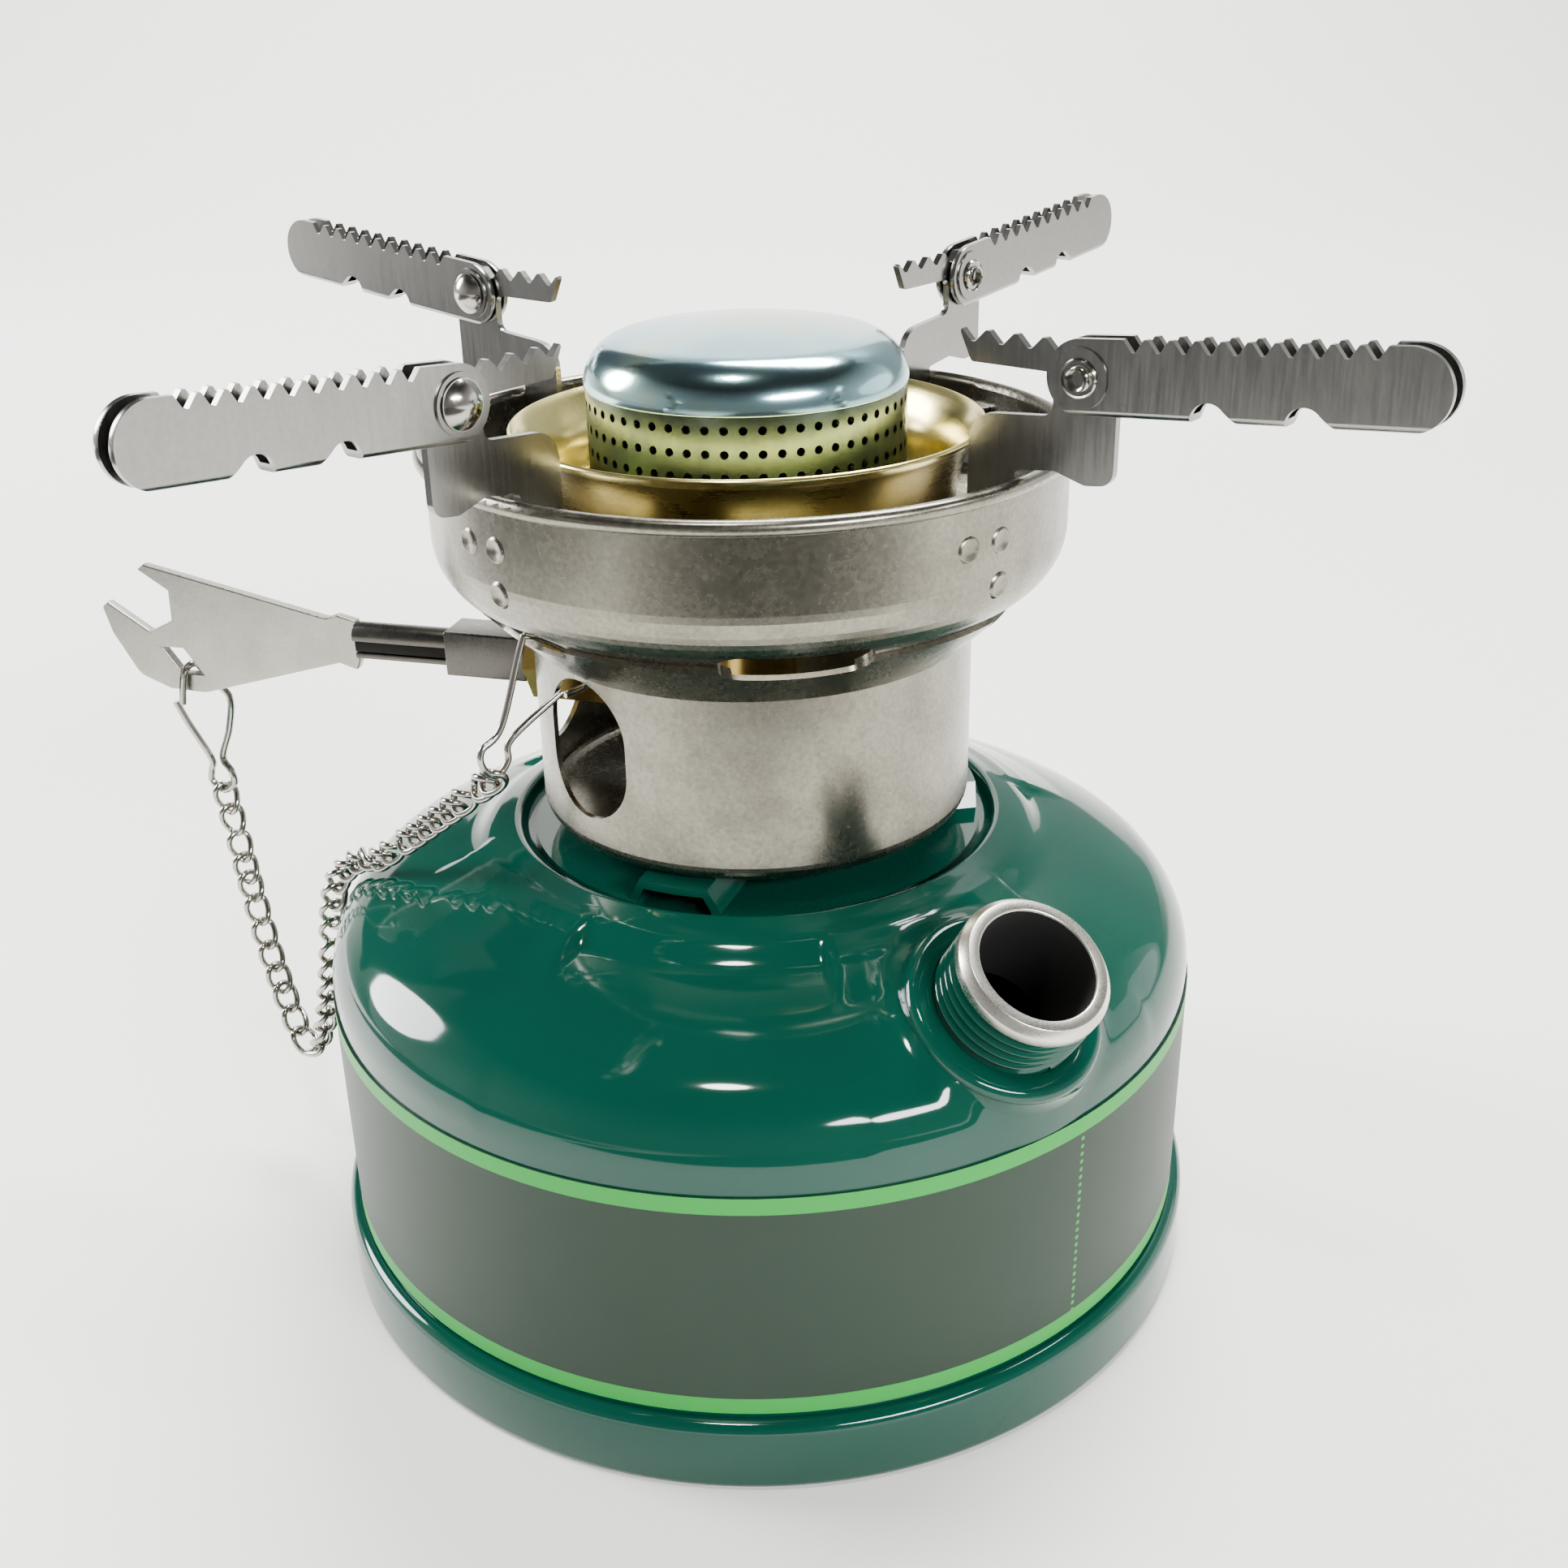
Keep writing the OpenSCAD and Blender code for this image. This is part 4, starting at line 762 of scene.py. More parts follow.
class Palette:
    """The finishes of this stove, each named for the real material."""

    # Stoved gloss enamel: a deep blue-green with sharp, slightly wavy mirror images of the windows
    ENAMEL = Enamel("gloss_green_enamel", "#003A2E", 0.07)
    # Printed polyester film: a flat grey-green that hardly shines, between grass-green stripes
    FILM = PrintedFilm("printed_film", "#1E2F23", 0.45)
    # Deep-drawn stainless sheet that has been over fire: warm grey, soft reflections, mottled stains
    SHIELD = SheetMetal("drawn_stainless", "#838075", 0.24, stain="#4C463D", stain_share=0.35,
                        grain=Grain.NONE, mark=0.8, speckle=0.14)
    # Stamped stainless plate: a cleaner, cooler grey with fine marks up and down
    PLATE = SheetMetal("stamped_stainless", "#8E8D89", 0.22, stain_share=0.1, grain=Grain.ACROSS, mark=0.5)
    # Spun brass: pale gold with fine rings from the lathe
    BRASS = SheetMetal("spun_brass", "#E4D68E", 0.2, stain="#7A5C26", stain_share=0.18, mark=0.5)
    # Painted shade on spun brass: the cup's outside below its rim is darkened to brown gold, with patches
    BRASS_SHADE = SheetMetal("brass_painted_shade", "#8C7B40", 0.26, stain="#4A3614", stain_share=0.4, mark=0.5)
    # Turned brass of the valve: satin yellow
    BRASS_TURNED = SheetMetal("turned_brass", "#C4A65C", 0.3, stain="#6B5020", stain_share=0.2,
                              grain=Grain.NONE)
    # Bright zinc under a blue passivate: a cold mirror with faint warm and cold clouds
    CAP = PassivatedZinc("passivated_zinc_cap", "#9FC4CA", 0.14, warm="#AEC3AC", cold="#90B7C5")
    # Zinc under a yellow passivate that is thicker below: straw green, fading to grey at the cap
    SLEEVE = PassivatedZinc("passivated_zinc_sleeve", "#505B58", 0.24, low_z=110.0, high_z=127.4)
    # Nickel-plated wire and rivets: small bright mirrors
    NICKEL = SheetMetal("plated_wire", "#A6A39C", 0.16, stain_share=0.12, grain=Grain.NONE)
    # Plated steel plate: light grey with a dull, even shine
    KEY = SheetMetal("plated_key", "#A5A39B", 0.28, stain_share=0.2, grain=Grain.NONE, mark=0.6)
    # Folded steel, darkened by handling
    SHANK = SheetMetal("folded_steel", "#53514D", 0.28, stain_share=0.3, grain=Grain.NONE, mark=0.6)
    # Bare turned steel: light, with fine tool marks and a trace of rust
    TURNED = SheetMetal("turned_steel", "#DAD7CC", 0.28, stain="#7A6E58", grain=Grain.NONE, mark=0.25)
    # Painted shade in the key's groove: nearly black steel with a broad dull shine
    GROOVE_SHADE = SheetMetal("groove_painted_shade", "#1F1E1C", 0.4, stain="#0E0D0C", grain=Grain.NONE, mark=0.6)
    # Painted shade: black for the bore that light doesn't reach
    BORE_SHADE = Finish("bore_painted_shade", "#0A0A09", 0.85)
    # Vulcanised fibre: matt brick red
    FIBRE = Finish("red_fibre", "#6E2A20", 0.8)
    # Braided cotton: matt off-white
    COTTON = Finish("braided_cotton", "#DDD6C4", 0.9)


def dress(obj: bpy.types.Object, finish: Finish, body: str = ROOT,
          stands_for: tuple[str, ...] = (), angle: float = 38) -> bpy.types.Object:
    """Gives a new piece its finish and its body, and hides the nodes that it stands for.

    Args:
        obj: The piece.
        finish: Its finish.
        body: Body that it rides on.
        stands_for: Nodes that it replaces.
        angle: Edges below this angle are shaded smooth, in degrees.

    Returns:
        The piece.
    """
    Bench.pick(obj)
    bpy.ops.object.shade_smooth_by_angle(angle=math.radians(angle))
    obj.data.materials.clear()
    obj.data.materials.append(finish.material())
    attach(obj, body)
    if stands_for:
        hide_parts(*stands_for)
    return obj


def dress_bent(obj: bpy.types.Object, node: str) -> bpy.types.Object:
    """Gives a piece of bright wire its finish, hides the node that it replaces and bakes its place into its
    mesh.

    Args:
        obj: The piece.
        node: Node that it replaces.

    Returns:
        The piece.
    """
    obj.data.materials.append(Palette.NICKEL.material())
    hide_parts(node)
    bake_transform(obj)
    return obj


def paint(nodes: tuple[str, ...], finish: Finish) -> Pieces:
    """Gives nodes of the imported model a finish.

    Args:
        nodes: Names of the nodes.
        finish: Their finish.

    Returns:
        The nodes' objects.
    """
    painted = [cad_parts[name] for name in nodes]
    for node in painted:
        node.data.materials.clear()
        node.data.materials.append(finish.material())
    return painted


class NeckFace(IntEnum):
    """Material slots of the neck's tube."""

    RIM = 0
    PAINTED = 1
    BORE = 2


@dataclass
class FillerNeck:
    """Turned neck with a bare rim and a painted thread."""

    azimuth: float = -61.0
    base_r: float = 53.2
    base_z: float = 58.6
    tilt: float = 33.0
    length: float = 11.0
    od: float = 19.6
    bore: float = 15.0
    root: float = 4.0
    # The tube's foot, and the groove from the foot to the rim in which the thread is wound
    foot_clear: float = 0.1
    foot_z: float = 1.0
    groove_low: float = 1.6
    groove_high: float = 8.3
    # The rim: where it starts, how far it stands proud, its chamfer and the small lip at the bore
    rim_z: float = 8.5
    rim_proud: float = 0.02
    chamfer_z: float = 9.9
    chamfer: float = 0.85
    lip: float = 0.2
    edge: float = 0.07
    # Depth inside the mouth that stays bare above the bore's painted shade, and how far from the bore its
    # skin and the outer wall are told apart
    mouth: float = 1.6
    bore_skin: float = 0.08
    wall_skin: float = 0.4
    pitch: float = 1.5
    turns: int = 4
    thread_z: float = 1.3
    thread_depth: float = 0.75
    thread_sink: float = 0.1
    thread_round: float = 0.06
    # Collar at the neck's foot: inner and outer radius, height range and rounded corner
    collar_in: float = 9.85
    collar_out: float = 13.6
    collar_low: float = -1.6
    collar_top: Line = ((10.6, 1.55), (9.85, 1.3))
    collar_corner: tuple[float, float, float] = (11.8, 0.35, 1.3)

    def base(self) -> Vector:
        """Returns the point where the neck's axis leaves the dome, in mm."""
        a = math.radians(self.azimuth)
        return Vector((self.base_r * math.cos(a), self.base_r * math.sin(a), self.base_z))

    def axis(self) -> Vector:
        """Returns the neck's direction."""
        a, t = math.radians(self.azimuth), math.radians(self.tilt)
        return Vector((math.sin(t) * math.cos(a), math.sin(t) * math.sin(a), math.cos(t)))

    def reach(self, point: Vector) -> tuple[float, float]:
        """Measures how far a point is from the neck.

        Args:
            point: The point, in mm.

        Returns:
            Distance from the neck's axis and distance along it, in mm.
        """
        away = point - self.base()
        along = away.dot(self.axis())
        return (away - self.axis() * along).length, along

    def seat(self) -> Matrix:
        """Finds the neck's place.

        Returns:
            The place, in metres, with Z along the neck.
        """
        spin = Matrix.Rotation(math.radians(self.azimuth), 4, "Z")
        lean = Matrix.Rotation(math.radians(self.tilt), 4, "Y")
        return Matrix.Translation(self.base() * MM) @ spin @ lean

    def build(self) -> Pieces:
        """Makes and dresses the tube, the thread and the collar at its foot.

        Returns:
            The pieces.
        """
        return [self.tube(), self.thread(), self.collar()]

    def tube(self) -> bpy.types.Object:
        """Turns the tube, with a bare rim, a painted outside and painted shade in the bore.

        Returns:
            The tube.
        """
        r, b, top = self.od / 2, self.bore / 2, self.length
        core = r - self.thread_depth
        tube = Bench.lathe("neck_tube", [
            (b, -self.root), (r - self.foot_clear, -self.root), (r - self.foot_clear, self.foot_z),
            (core, self.groove_low), (core, self.groove_high), (r + self.rim_proud, self.rim_z),
            (r + self.rim_proud, self.chamfer_z), (r - self.chamfer, top), (b + self.lip, top),
            (b, top - self.lip), (b, -self.root)], steps=96)
        Bench.round_edges(tube, self.edge, angle=25)
        faces = [self.face_kind(face) for face in tube.data.polygons]
        Bench.place(tube, self.seat())
        dress(tube, Palette.TURNED, stands_for=("filler_neck",), angle=30)
        tube.data.materials.append(Palette.ENAMEL.material())
        tube.data.materials.append(Palette.BORE_SHADE.material())
        for face, kind in zip(tube.data.polygons, faces):
            face.material_index = kind
        return tube

    def face_kind(self, face: bpy.types.MeshPolygon) -> NeckFace:
        """Tells the rim, the painted outside and the bore of the upright tube apart.

        Args:
            face: A face of the tube, before it is tilted.

        Returns:
            The face's kind.
        """
        beyond_bore = math.hypot(face.center.x, face.center.y) / MM - self.bore / 2
        z = face.center.z / MM
        # Painted shade: the bore below the mouth is black
        if beyond_bore < self.bore_skin and z < self.length - self.mouth:
            return NeckFace.BORE
        painted = beyond_bore > self.wall_skin and z < self.groove_high
        return NeckFace.PAINTED if painted else NeckFace.RIM

    def thread(self) -> bpy.types.Object:
        """Winds the thread's ridge round the tube.

        Returns:
            The thread.
        """
        crest, half = self.od / 2, self.pitch / 2
        foot = crest - self.thread_depth - self.thread_sink
        # The ridge's section is nearly as wide as the pitch at its foot, with a small rounded flat on top
        section = [(foot, -0.9), (crest - self.thread_round, -0.2), (crest, 0.0),
                   (crest - self.thread_round, 0.2), (foot, 0.9), (foot, -0.9)]
        ridge = Bench.trace("neck_thread", [(r, 0, self.thread_z + share * half) for r, share in section])
        Bench.modify(ridge, "SCREW", axis="Z", steps=72, render_steps=72, iterations=self.turns,
                     screw_offset=self.pitch * MM, use_normal_calculate=True)
        bpy.ops.object.mode_set(mode="EDIT")
        bpy.ops.mesh.select_all(action="SELECT")
        bpy.ops.mesh.fill_holes(sides=5)
        Bench.close_up(MERGE)
        Bench.place(ridge, self.seat())
        return dress(ridge, Palette.ENAMEL)

    def collar(self) -> bpy.types.Object:
        """Turns the painted collar that covers the edge of the tank's hole.

        Returns:
            The collar.
        """
        low = [(self.collar_in, self.collar_low), (self.collar_out, self.collar_low)]
        top = arc(*self.collar_corner, -20, 90, 8) + list(self.collar_top)
        ring = Bench.lathe("neck_collar", low + top + low[:1], steps=96)
        Bench.place(ring, self.seat())
        return dress(ring, Palette.ENAMEL)


@dataclass
class Tank:
    """Drawn tank with collar, well, pressed flares and neck boss, its skirt and its label."""

    neck: FillerNeck
    side_r: float = 62.0
    side_z: float = 20.0
    side_top: float = 46.7
    shoulder_r: float = 12.0
    crown_r: float = 55.3
    crown_x: float = 28.0
    crown_end: float = 41.9
    collar: Line = ((41.2, 63.22), (40.4, 63.72), (39.6, 64.42), (38.8, 65.12), (38.1, 65.6), (37.2, 66.02),
                    (36.0, 66.46))
    crest_z: float = 67.06
    crest_round: float = 0.8
    well_r: float = 33.6
    well_z: float = 64.56
    well_corner: float = 1.6
    # Inner face below the well, from the wall's inside to the collar's
    well_inside: tuple[float, float] = (33.4, 38.0)
    riser_r: float = 4.8
    sheet: float = 0.8
    # Flares on the collar: foot, azimuth of the first, angle, width of their side walls and largest rise
    flare_r: float = 46.5
    flare_z: float = 61.48
    flare_az: float = -83.0
    flare_angle: float = 43.0
    flare_wall: float = 0.5
    flare_rise: float = 1.3
    flare_reach: float = 0.6
    flare_sink: float = 0.12
    knee_r: float = 38.1
    knee_z: float = 65.76
    # Nothing inside this radius or below this height is pressed
    press_r: float = 36.4
    press_z: float = 40.0
    boss_h: float = 1.2
    boss_r: float = 11.6
    boss_foot_r: float = 15.4
    hole_r: float = 10.6
    hole_depth: float = 8.0
    skirt_r: float = 64.0
    skirt_h: float = 10.6
    skirt_roll: float = 1.75
    foot_round: float = 1.4
    # Foot ring and dished bottom
    bottom: Line = ((59.2, 0.0), (59.0, 0.16), (57.6, 1.6), (56.6, 2.2), (0.0, 2.2))

    def crown_z(self) -> float:
        """Returns the height of the crown's centre, from which the crown runs on into the shoulder."""
        reach = self.crown_r - self.shoulder_r
        return self.side_top - math.sqrt(reach ** 2 - (self.side_r - self.shoulder_r - self.crown_x) ** 2)

    def face_z(self, r: float) -> float:
        """Finds the height of the shell's outer face on the collar or the crown.

        Args:
            r: Radius in mm.

        Returns:
            Height in mm.
        """
        for (r1, z1), (r0, z0) in zip(self.collar, self.collar[1:]):
            if r0 <= r <= r1:
                return z0 + (z1 - z0) * (r - r0) / (r1 - r0)
        return self.crown_z() + math.sqrt(self.crown_r ** 2 - (r - self.crown_x) ** 2)

    def outline(self) -> Profile:
        """Draws the shell's section.

        Returns:
            The closed outline: up the outer face to the well, and back on the inner face.
        """
        side_c, crown_z, t = self.side_r - self.shoulder_r, self.crown_z(), self.sheet
        meet = math.degrees(math.atan2(self.side_top - crown_z, side_c - self.crown_x))
        end = math.degrees(math.acos((self.crown_end - self.crown_x) / self.crown_r))
        crest, corner = self.crest_round, self.well_corner
        outer = ([(self.side_r, t), (self.side_r, self.side_z)]
                 + arc(side_c, self.side_top, self.shoulder_r, 0, meet, 20)
                 + arc(self.crown_x, crown_z, self.crown_r, meet, end, 22)[1:] + list(self.collar)
                 + arc(self.well_r + crest, self.crest_z - crest, crest, 66, 180, 8)
                 + arc(self.well_r - corner, self.well_z + corner, corner, 0, -90, 5)
                 + [(self.riser_r, self.well_z)])
        inner = ([(r, self.well_z - t) for r in (self.riser_r, *self.well_inside)]
                 + arc(self.crown_x, crown_z, self.crown_r - t, end, meet, 10)
                 + arc(side_c, self.side_top, self.shoulder_r - t, meet, 0, 10)[1:] + [(self.side_r - t, t)])
        return outer + inner + outer[:1]

    def build(self) -> Pieces:
        """Makes and dresses the shell, the skirt and the label.

        Returns:
            The pieces.
        """
        shell = Bench.lathe("tank", self.outline(), steps=360)
        self.press(shell)
        self.pierce(shell)
        dress(shell, Palette.ENAMEL, stands_for=("tank_shell",))
        return [shell, self.skirt(), *paint(("label_band",), Palette.FILM)]

    def press(self, shell: bpy.types.Object) -> None:
        """Raises the collar's four flares, which leave pressed flats between them, and the neck's boss.

        Args:
            shell: The turned shell.
        """
        rise = (self.knee_z - self.flare_z) / (self.flare_r - self.knee_r)
        for v in shell.data.vertices:
            point = v.co / MM
            r = math.hypot(point.x, point.y)
            if point.z < self.press_z or r < self.press_r:
                continue
            along = (math.degrees(math.atan2(point.y, point.x)) - self.flare_az) % 90
            wall = math.degrees(self.flare_wall / r)
            inside = (fade(along, -wall, wall) + fade(along, 90 - wall, 90 + wall)
                      - fade(along, self.flare_angle - wall, self.flare_angle + wall))
            lift = 0.0
            if r > self.knee_r:
                target = self.flare_z + (self.flare_r + self.flare_reach - r) * rise - self.flare_sink
                lift = min(self.flare_rise, max(0.0, target - self.face_z(r)))
            boss = self.boss_h * (1 - fade(self.neck.reach(point)[0], self.boss_r, self.boss_foot_r))
            v.co += (self.neck.axis() * boss + Vector((0, 0, lift * inside))) * MM

    def pierce(self, shell: bpy.types.Object) -> None:
        """Opens the dome under the neck, where the neck's collar covers the edge.

        Args:
            shell: The pressed shell.
        """
        Bench.pick(shell)
        bpy.ops.object.mode_set(mode="EDIT")
        bpy.ops.mesh.select_mode(type="FACE")
        bpy.ops.mesh.select_all(action="DESELECT")
        bpy.ops.object.mode_set(mode="OBJECT")
        for face in shell.data.polygons:
            beside, along = self.neck.reach(face.center / MM)
            face.select = beside < self.hole_r and abs(along) < self.hole_depth
        bpy.ops.object.mode_set(mode="EDIT")
        bpy.ops.mesh.delete(type="FACE")
        bpy.ops.mesh.select_mode(type="EDGE")
        bpy.ops.mesh.select_non_manifold(extend=False)
        bpy.ops.mesh.bridge_edge_loops()
        bpy.ops.mesh.select_mode(type="VERT")
        bpy.ops.object.mode_set(mode="OBJECT")

    def skirt(self) -> bpy.types.Object:
        """Makes the skirt with its rolled edge, foot ring and dished bottom.

        Returns:
            The skirt.
        """
        roll, foot = self.skirt_roll, self.foot_round
        path = (arc(self.skirt_r - roll, self.skirt_h - roll, roll, 100, 0, 10)
                + arc(self.skirt_r - foot, foot, foot, 0, -90, 8) + list(self.bottom))
        skirt = Bench.lathe("tank_skirt", walled(path[::-1], self.sheet)[:-1], steps=200)
        return dress(skirt, Palette.ENAMEL, stands_for=("tank_base",))


@dataclass
class Windshield:
    """Drawn can and bowl, with the dimples that spot welds left on the bowl."""

    wall_r: float = 42.1
    corner_r: float = 8.3
    corner_z: float = 109.8
    weld_r: float = 1.35
    # Crater with a raised rim: radius as a share of the mark's, and height in mm
    weld_shape: Line = ((0.0, 0.02), (0.55, 0.03), (0.8, 0.16), (1.0, 0.22), (1.15, 0.12), (1.35, -0.25),
                        (0.0, -0.25))
    # Azimuth from the arm and height of each mark
    weld_spots: Line = ((-5.5, 114.4), (-5.5, 108.8), (-13.0, 114.4))
    first_arm: float = -45.0

    def build(self) -> Pieces:
        """Dresses the drawn sheets and makes the weld marks.

        Returns:
            The pieces.
        """
        nodes = (paint(("windshield_can", "windshield_bowl"), Palette.SHIELD)
                 + paint(("carrier_plate",), Palette.ENAMEL)
                 + paint(("carrier_screws", "carrier_nuts"), Palette.NICKEL))
        weld = Bench.lathe("weld", [(share * self.weld_r, h) for share, h in self.weld_shape], steps=24)
        places = [self.weld_place(self.first_arm + 90 * arm + turn, z)
                  for arm in range(4) for turn, z in self.weld_spots]
        marks = Bench.join("weld_marks", Bench.copies(weld, places))
        return [*nodes, dress(marks, Palette.SHIELD)]

    def weld_place(self, azimuth: float, z: float) -> Matrix:
        """Finds where a mark stands on the bowl, whose wall turns in at its corner.

        Args:
            azimuth: Place round the bowl, in degrees.
            z: Height in mm.

        Returns:
            The mark's place, in metres, with Z out of the wall.
        """
        a = math.radians(azimuth)
        lean = math.asin(max(0.0, self.corner_z - z) / self.corner_r)
        wall = self.wall_r - self.corner_r * (1 - math.cos(lean))
        turn = Matrix.Rotation(a, 4, "Z") @ Matrix.Rotation(math.radians(90) + lean, 4, "Y")
        return Matrix.Translation(Vector((wall * math.cos(a), wall * math.sin(a), z)) * MM) @ turn


@dataclass
class Burner:
    """Brass cup, perforated sleeve, zinc cap and the valve parts below them."""

    sheet: float = 0.6
    cup_floor: float = 109.56
    cup_bore: float = 7.25
    cup_corner: float = 4.0
    cup_wall_r: float = 27.6
    # Radius and height above the floor along the flare
    cup_flare: Line = ((27.75, 5.6), (28.1, 7.2), (28.7, 8.8), (29.5, 10.4), (30.4, 11.7), (31.3, 12.7))
    cup_edge: float = 0.15
    # Height of the rim that the painted shade doesn't reach
    cup_bright: float = 1.0
    cap_r: float = 21.1
    cap_low: float = 127.36
    cap_top: float = 134.86
    cap_corner: float = 6.0
    cap_crown: float = 1.2
    cap_edge: float = 0.12

    def build(self) -> Pieces:
        """Makes the cup and the cap, and dresses the rest.

        Returns:
            The pieces.
        """
        return [self.cup(), self.cap(), *paint(("burner_sleeve",), Palette.SLEEVE),
                *paint(("riser_tube", "valve_body", "jet", "burner_stem", "gland_nut"), Palette.BRASS_TURNED),
                *paint(("riser_gasket", "gland_packing"), Palette.FIBRE), *paint(("wick",), Palette.COTTON)]

    def cup(self) -> bpy.types.Object:
        """Spins the cup: bright inside and on its rim, with painted shade on its outside.

        Returns:
            The cup.
        """
        z, corner = self.cup_floor, self.cup_corner
        path = ([(self.cup_bore, z)] + arc(self.cup_wall_r - corner, z + corner, corner, -90, -8, 10)
                + [(r, z + rise) for r, rise in self.cup_flare])
        cup = Bench.lathe("cup", walled(path, self.sheet), steps=160)
        Bench.round_edges(cup, self.cup_edge, angle=50)
        dress(cup, Palette.BRASS, stands_for=("burner_cup",))
        cup.data.materials.append(Palette.BRASS_SHADE.material())
        # Painted shade: below the rim, the cup's outside gets the darker brass for the shadow under its lip
        bright_z = path[-1][1] - self.cup_bright
        for face in cup.data.polygons:
            outward = face.normal.x * face.center.x + face.normal.y * face.center.y
            face.material_index = 1 if outward > 0 and face.center.z / MM < bright_z else 0
        return cup

    def cap(self) -> bpy.types.Object:
        """Draws the cap: a low crown that runs into a large rounded corner.

        Returns:
            The cap.
        """
        flat = self.cap_r - self.cap_corner
        ball = (flat ** 2 + self.cap_crown ** 2) / (2 * self.cap_crown)
        tip = math.degrees(math.asin(flat / ball))
        side = self.cap_top - self.cap_crown - self.cap_corner
        path = ([(self.cap_r, self.cap_low)] + arc(flat, side, self.cap_corner, 0, 90 - tip, 16)
                + arc(0, self.cap_top - ball, ball, 90 - tip, 90, 12)[1:])
        # The inner face ends on the axis, so that its pole closes
        skin = walled(path[::-1], -self.sheet)[:-2] + [(0.0, self.cap_top - self.sheet)]
        cap = Bench.lathe("cap", skin, steps=160)
        Bench.round_edges(cap, self.cap_edge, angle=50)
        return dress(cap, Palette.CAP, stands_for=("burner_cap",))


@dataclass
class PotSupports:
    """Four welded brackets, four folding arms and the rivets that they turn on."""

    count: int = 4
    first_arm: float = -45.0
    pivot_r: float = 50.0
    pivot_z: float = 133.96
    plate_edge: float = 0.14
    # Rivet: distance of its two seats from the middle, shank, dome and rolled eyelet
    seat: float = 2.05
    shank_r: float = 1.5
    head_r: float = 2.9
    head_h: float = 1.5
    head_edge: float = 0.15
    eyelet_r: float = 2.3
    eyelet_bore: float = 1.05
    eyelet_floor: float = 0.2
    eyelet_h: float = 0.75
    roll_x: float = 1.62
    roll_z: float = 0.45
    roll_r: float = 0.56

    def build(self) -> Pieces:
        """Softens the stamped plates and makes the rivets.

        Returns:
            The pieces.
        """
        pieces = []
        for i in range(1, self.count + 1):
            for kind, body in (("bracket", ROOT), ("arm", f"pot_arm_{i}")):
                plate = Bench.copy_of(f"{kind}_{i}", f"{kind}_plate_{i}")
                Bench.round_edges(plate, self.plate_edge, angle=30)
                dress(plate, Palette.PLATE, body, (f"{kind}_{i}",), angle=60)
                Bench.flatten(plate)
                pieces.append(plate)
        pivots = [self.pivot(math.radians(self.first_arm + 90 * i)) for i in range(self.count)]
        for i, rivet in enumerate(Bench.copies(self.rivet(), pivots), 1):
            rivet.name = f"rivet_head_{i}"
            pieces.append(dress(rivet, Palette.NICKEL, stands_for=(f"rivet_{i}",)))
        return pieces

    def pivot(self, a: float) -> Matrix:
        """Finds a rivet's place.

        Args:
            a: Azimuth of the arm, in radians.

        Returns:
            The place, in metres, with Z along the rivet.
        """
        spot = Vector((self.pivot_r * math.cos(a), self.pivot_r * math.sin(a), self.pivot_z)) * MM
        turn = Matrix.Rotation(a, 4, "Z") @ Matrix.Rotation(math.radians(-90), 4, "X")
        return Matrix.Translation(spot) @ turn

    def rivet(self) -> bpy.types.Object:
        """Makes a rivet: a dome on one side and a rolled eyelet on the other.

        Returns:
            The rivet, upright at the origin.
        """
        s = self.seat
        ball = (self.head_r ** 2 + self.head_h ** 2) / (2 * self.head_h)
        tip = math.degrees(math.asin(self.head_r / ball))
        bore = [(0.0, -s - self.eyelet_floor), (self.eyelet_bore, -s - self.eyelet_floor),
                (self.eyelet_bore, -s - self.eyelet_h)]
        shank = [(self.eyelet_r, -s), (self.shank_r, -s), (self.shank_r, s)]
        edge = [(self.head_r, s), (self.head_r, s + self.head_edge)]
        # The dome starts 3 degrees above its seat, inside the edge
        dome = arc(0, s + self.head_h - ball, ball, 90 - tip + 3, 90, 12)
        roll = arc(self.roll_x, -s - self.roll_z, self.roll_r, 230, 20, 10)
        return Bench.lathe("rivet", bore + roll + shank + edge + dome, steps=48)


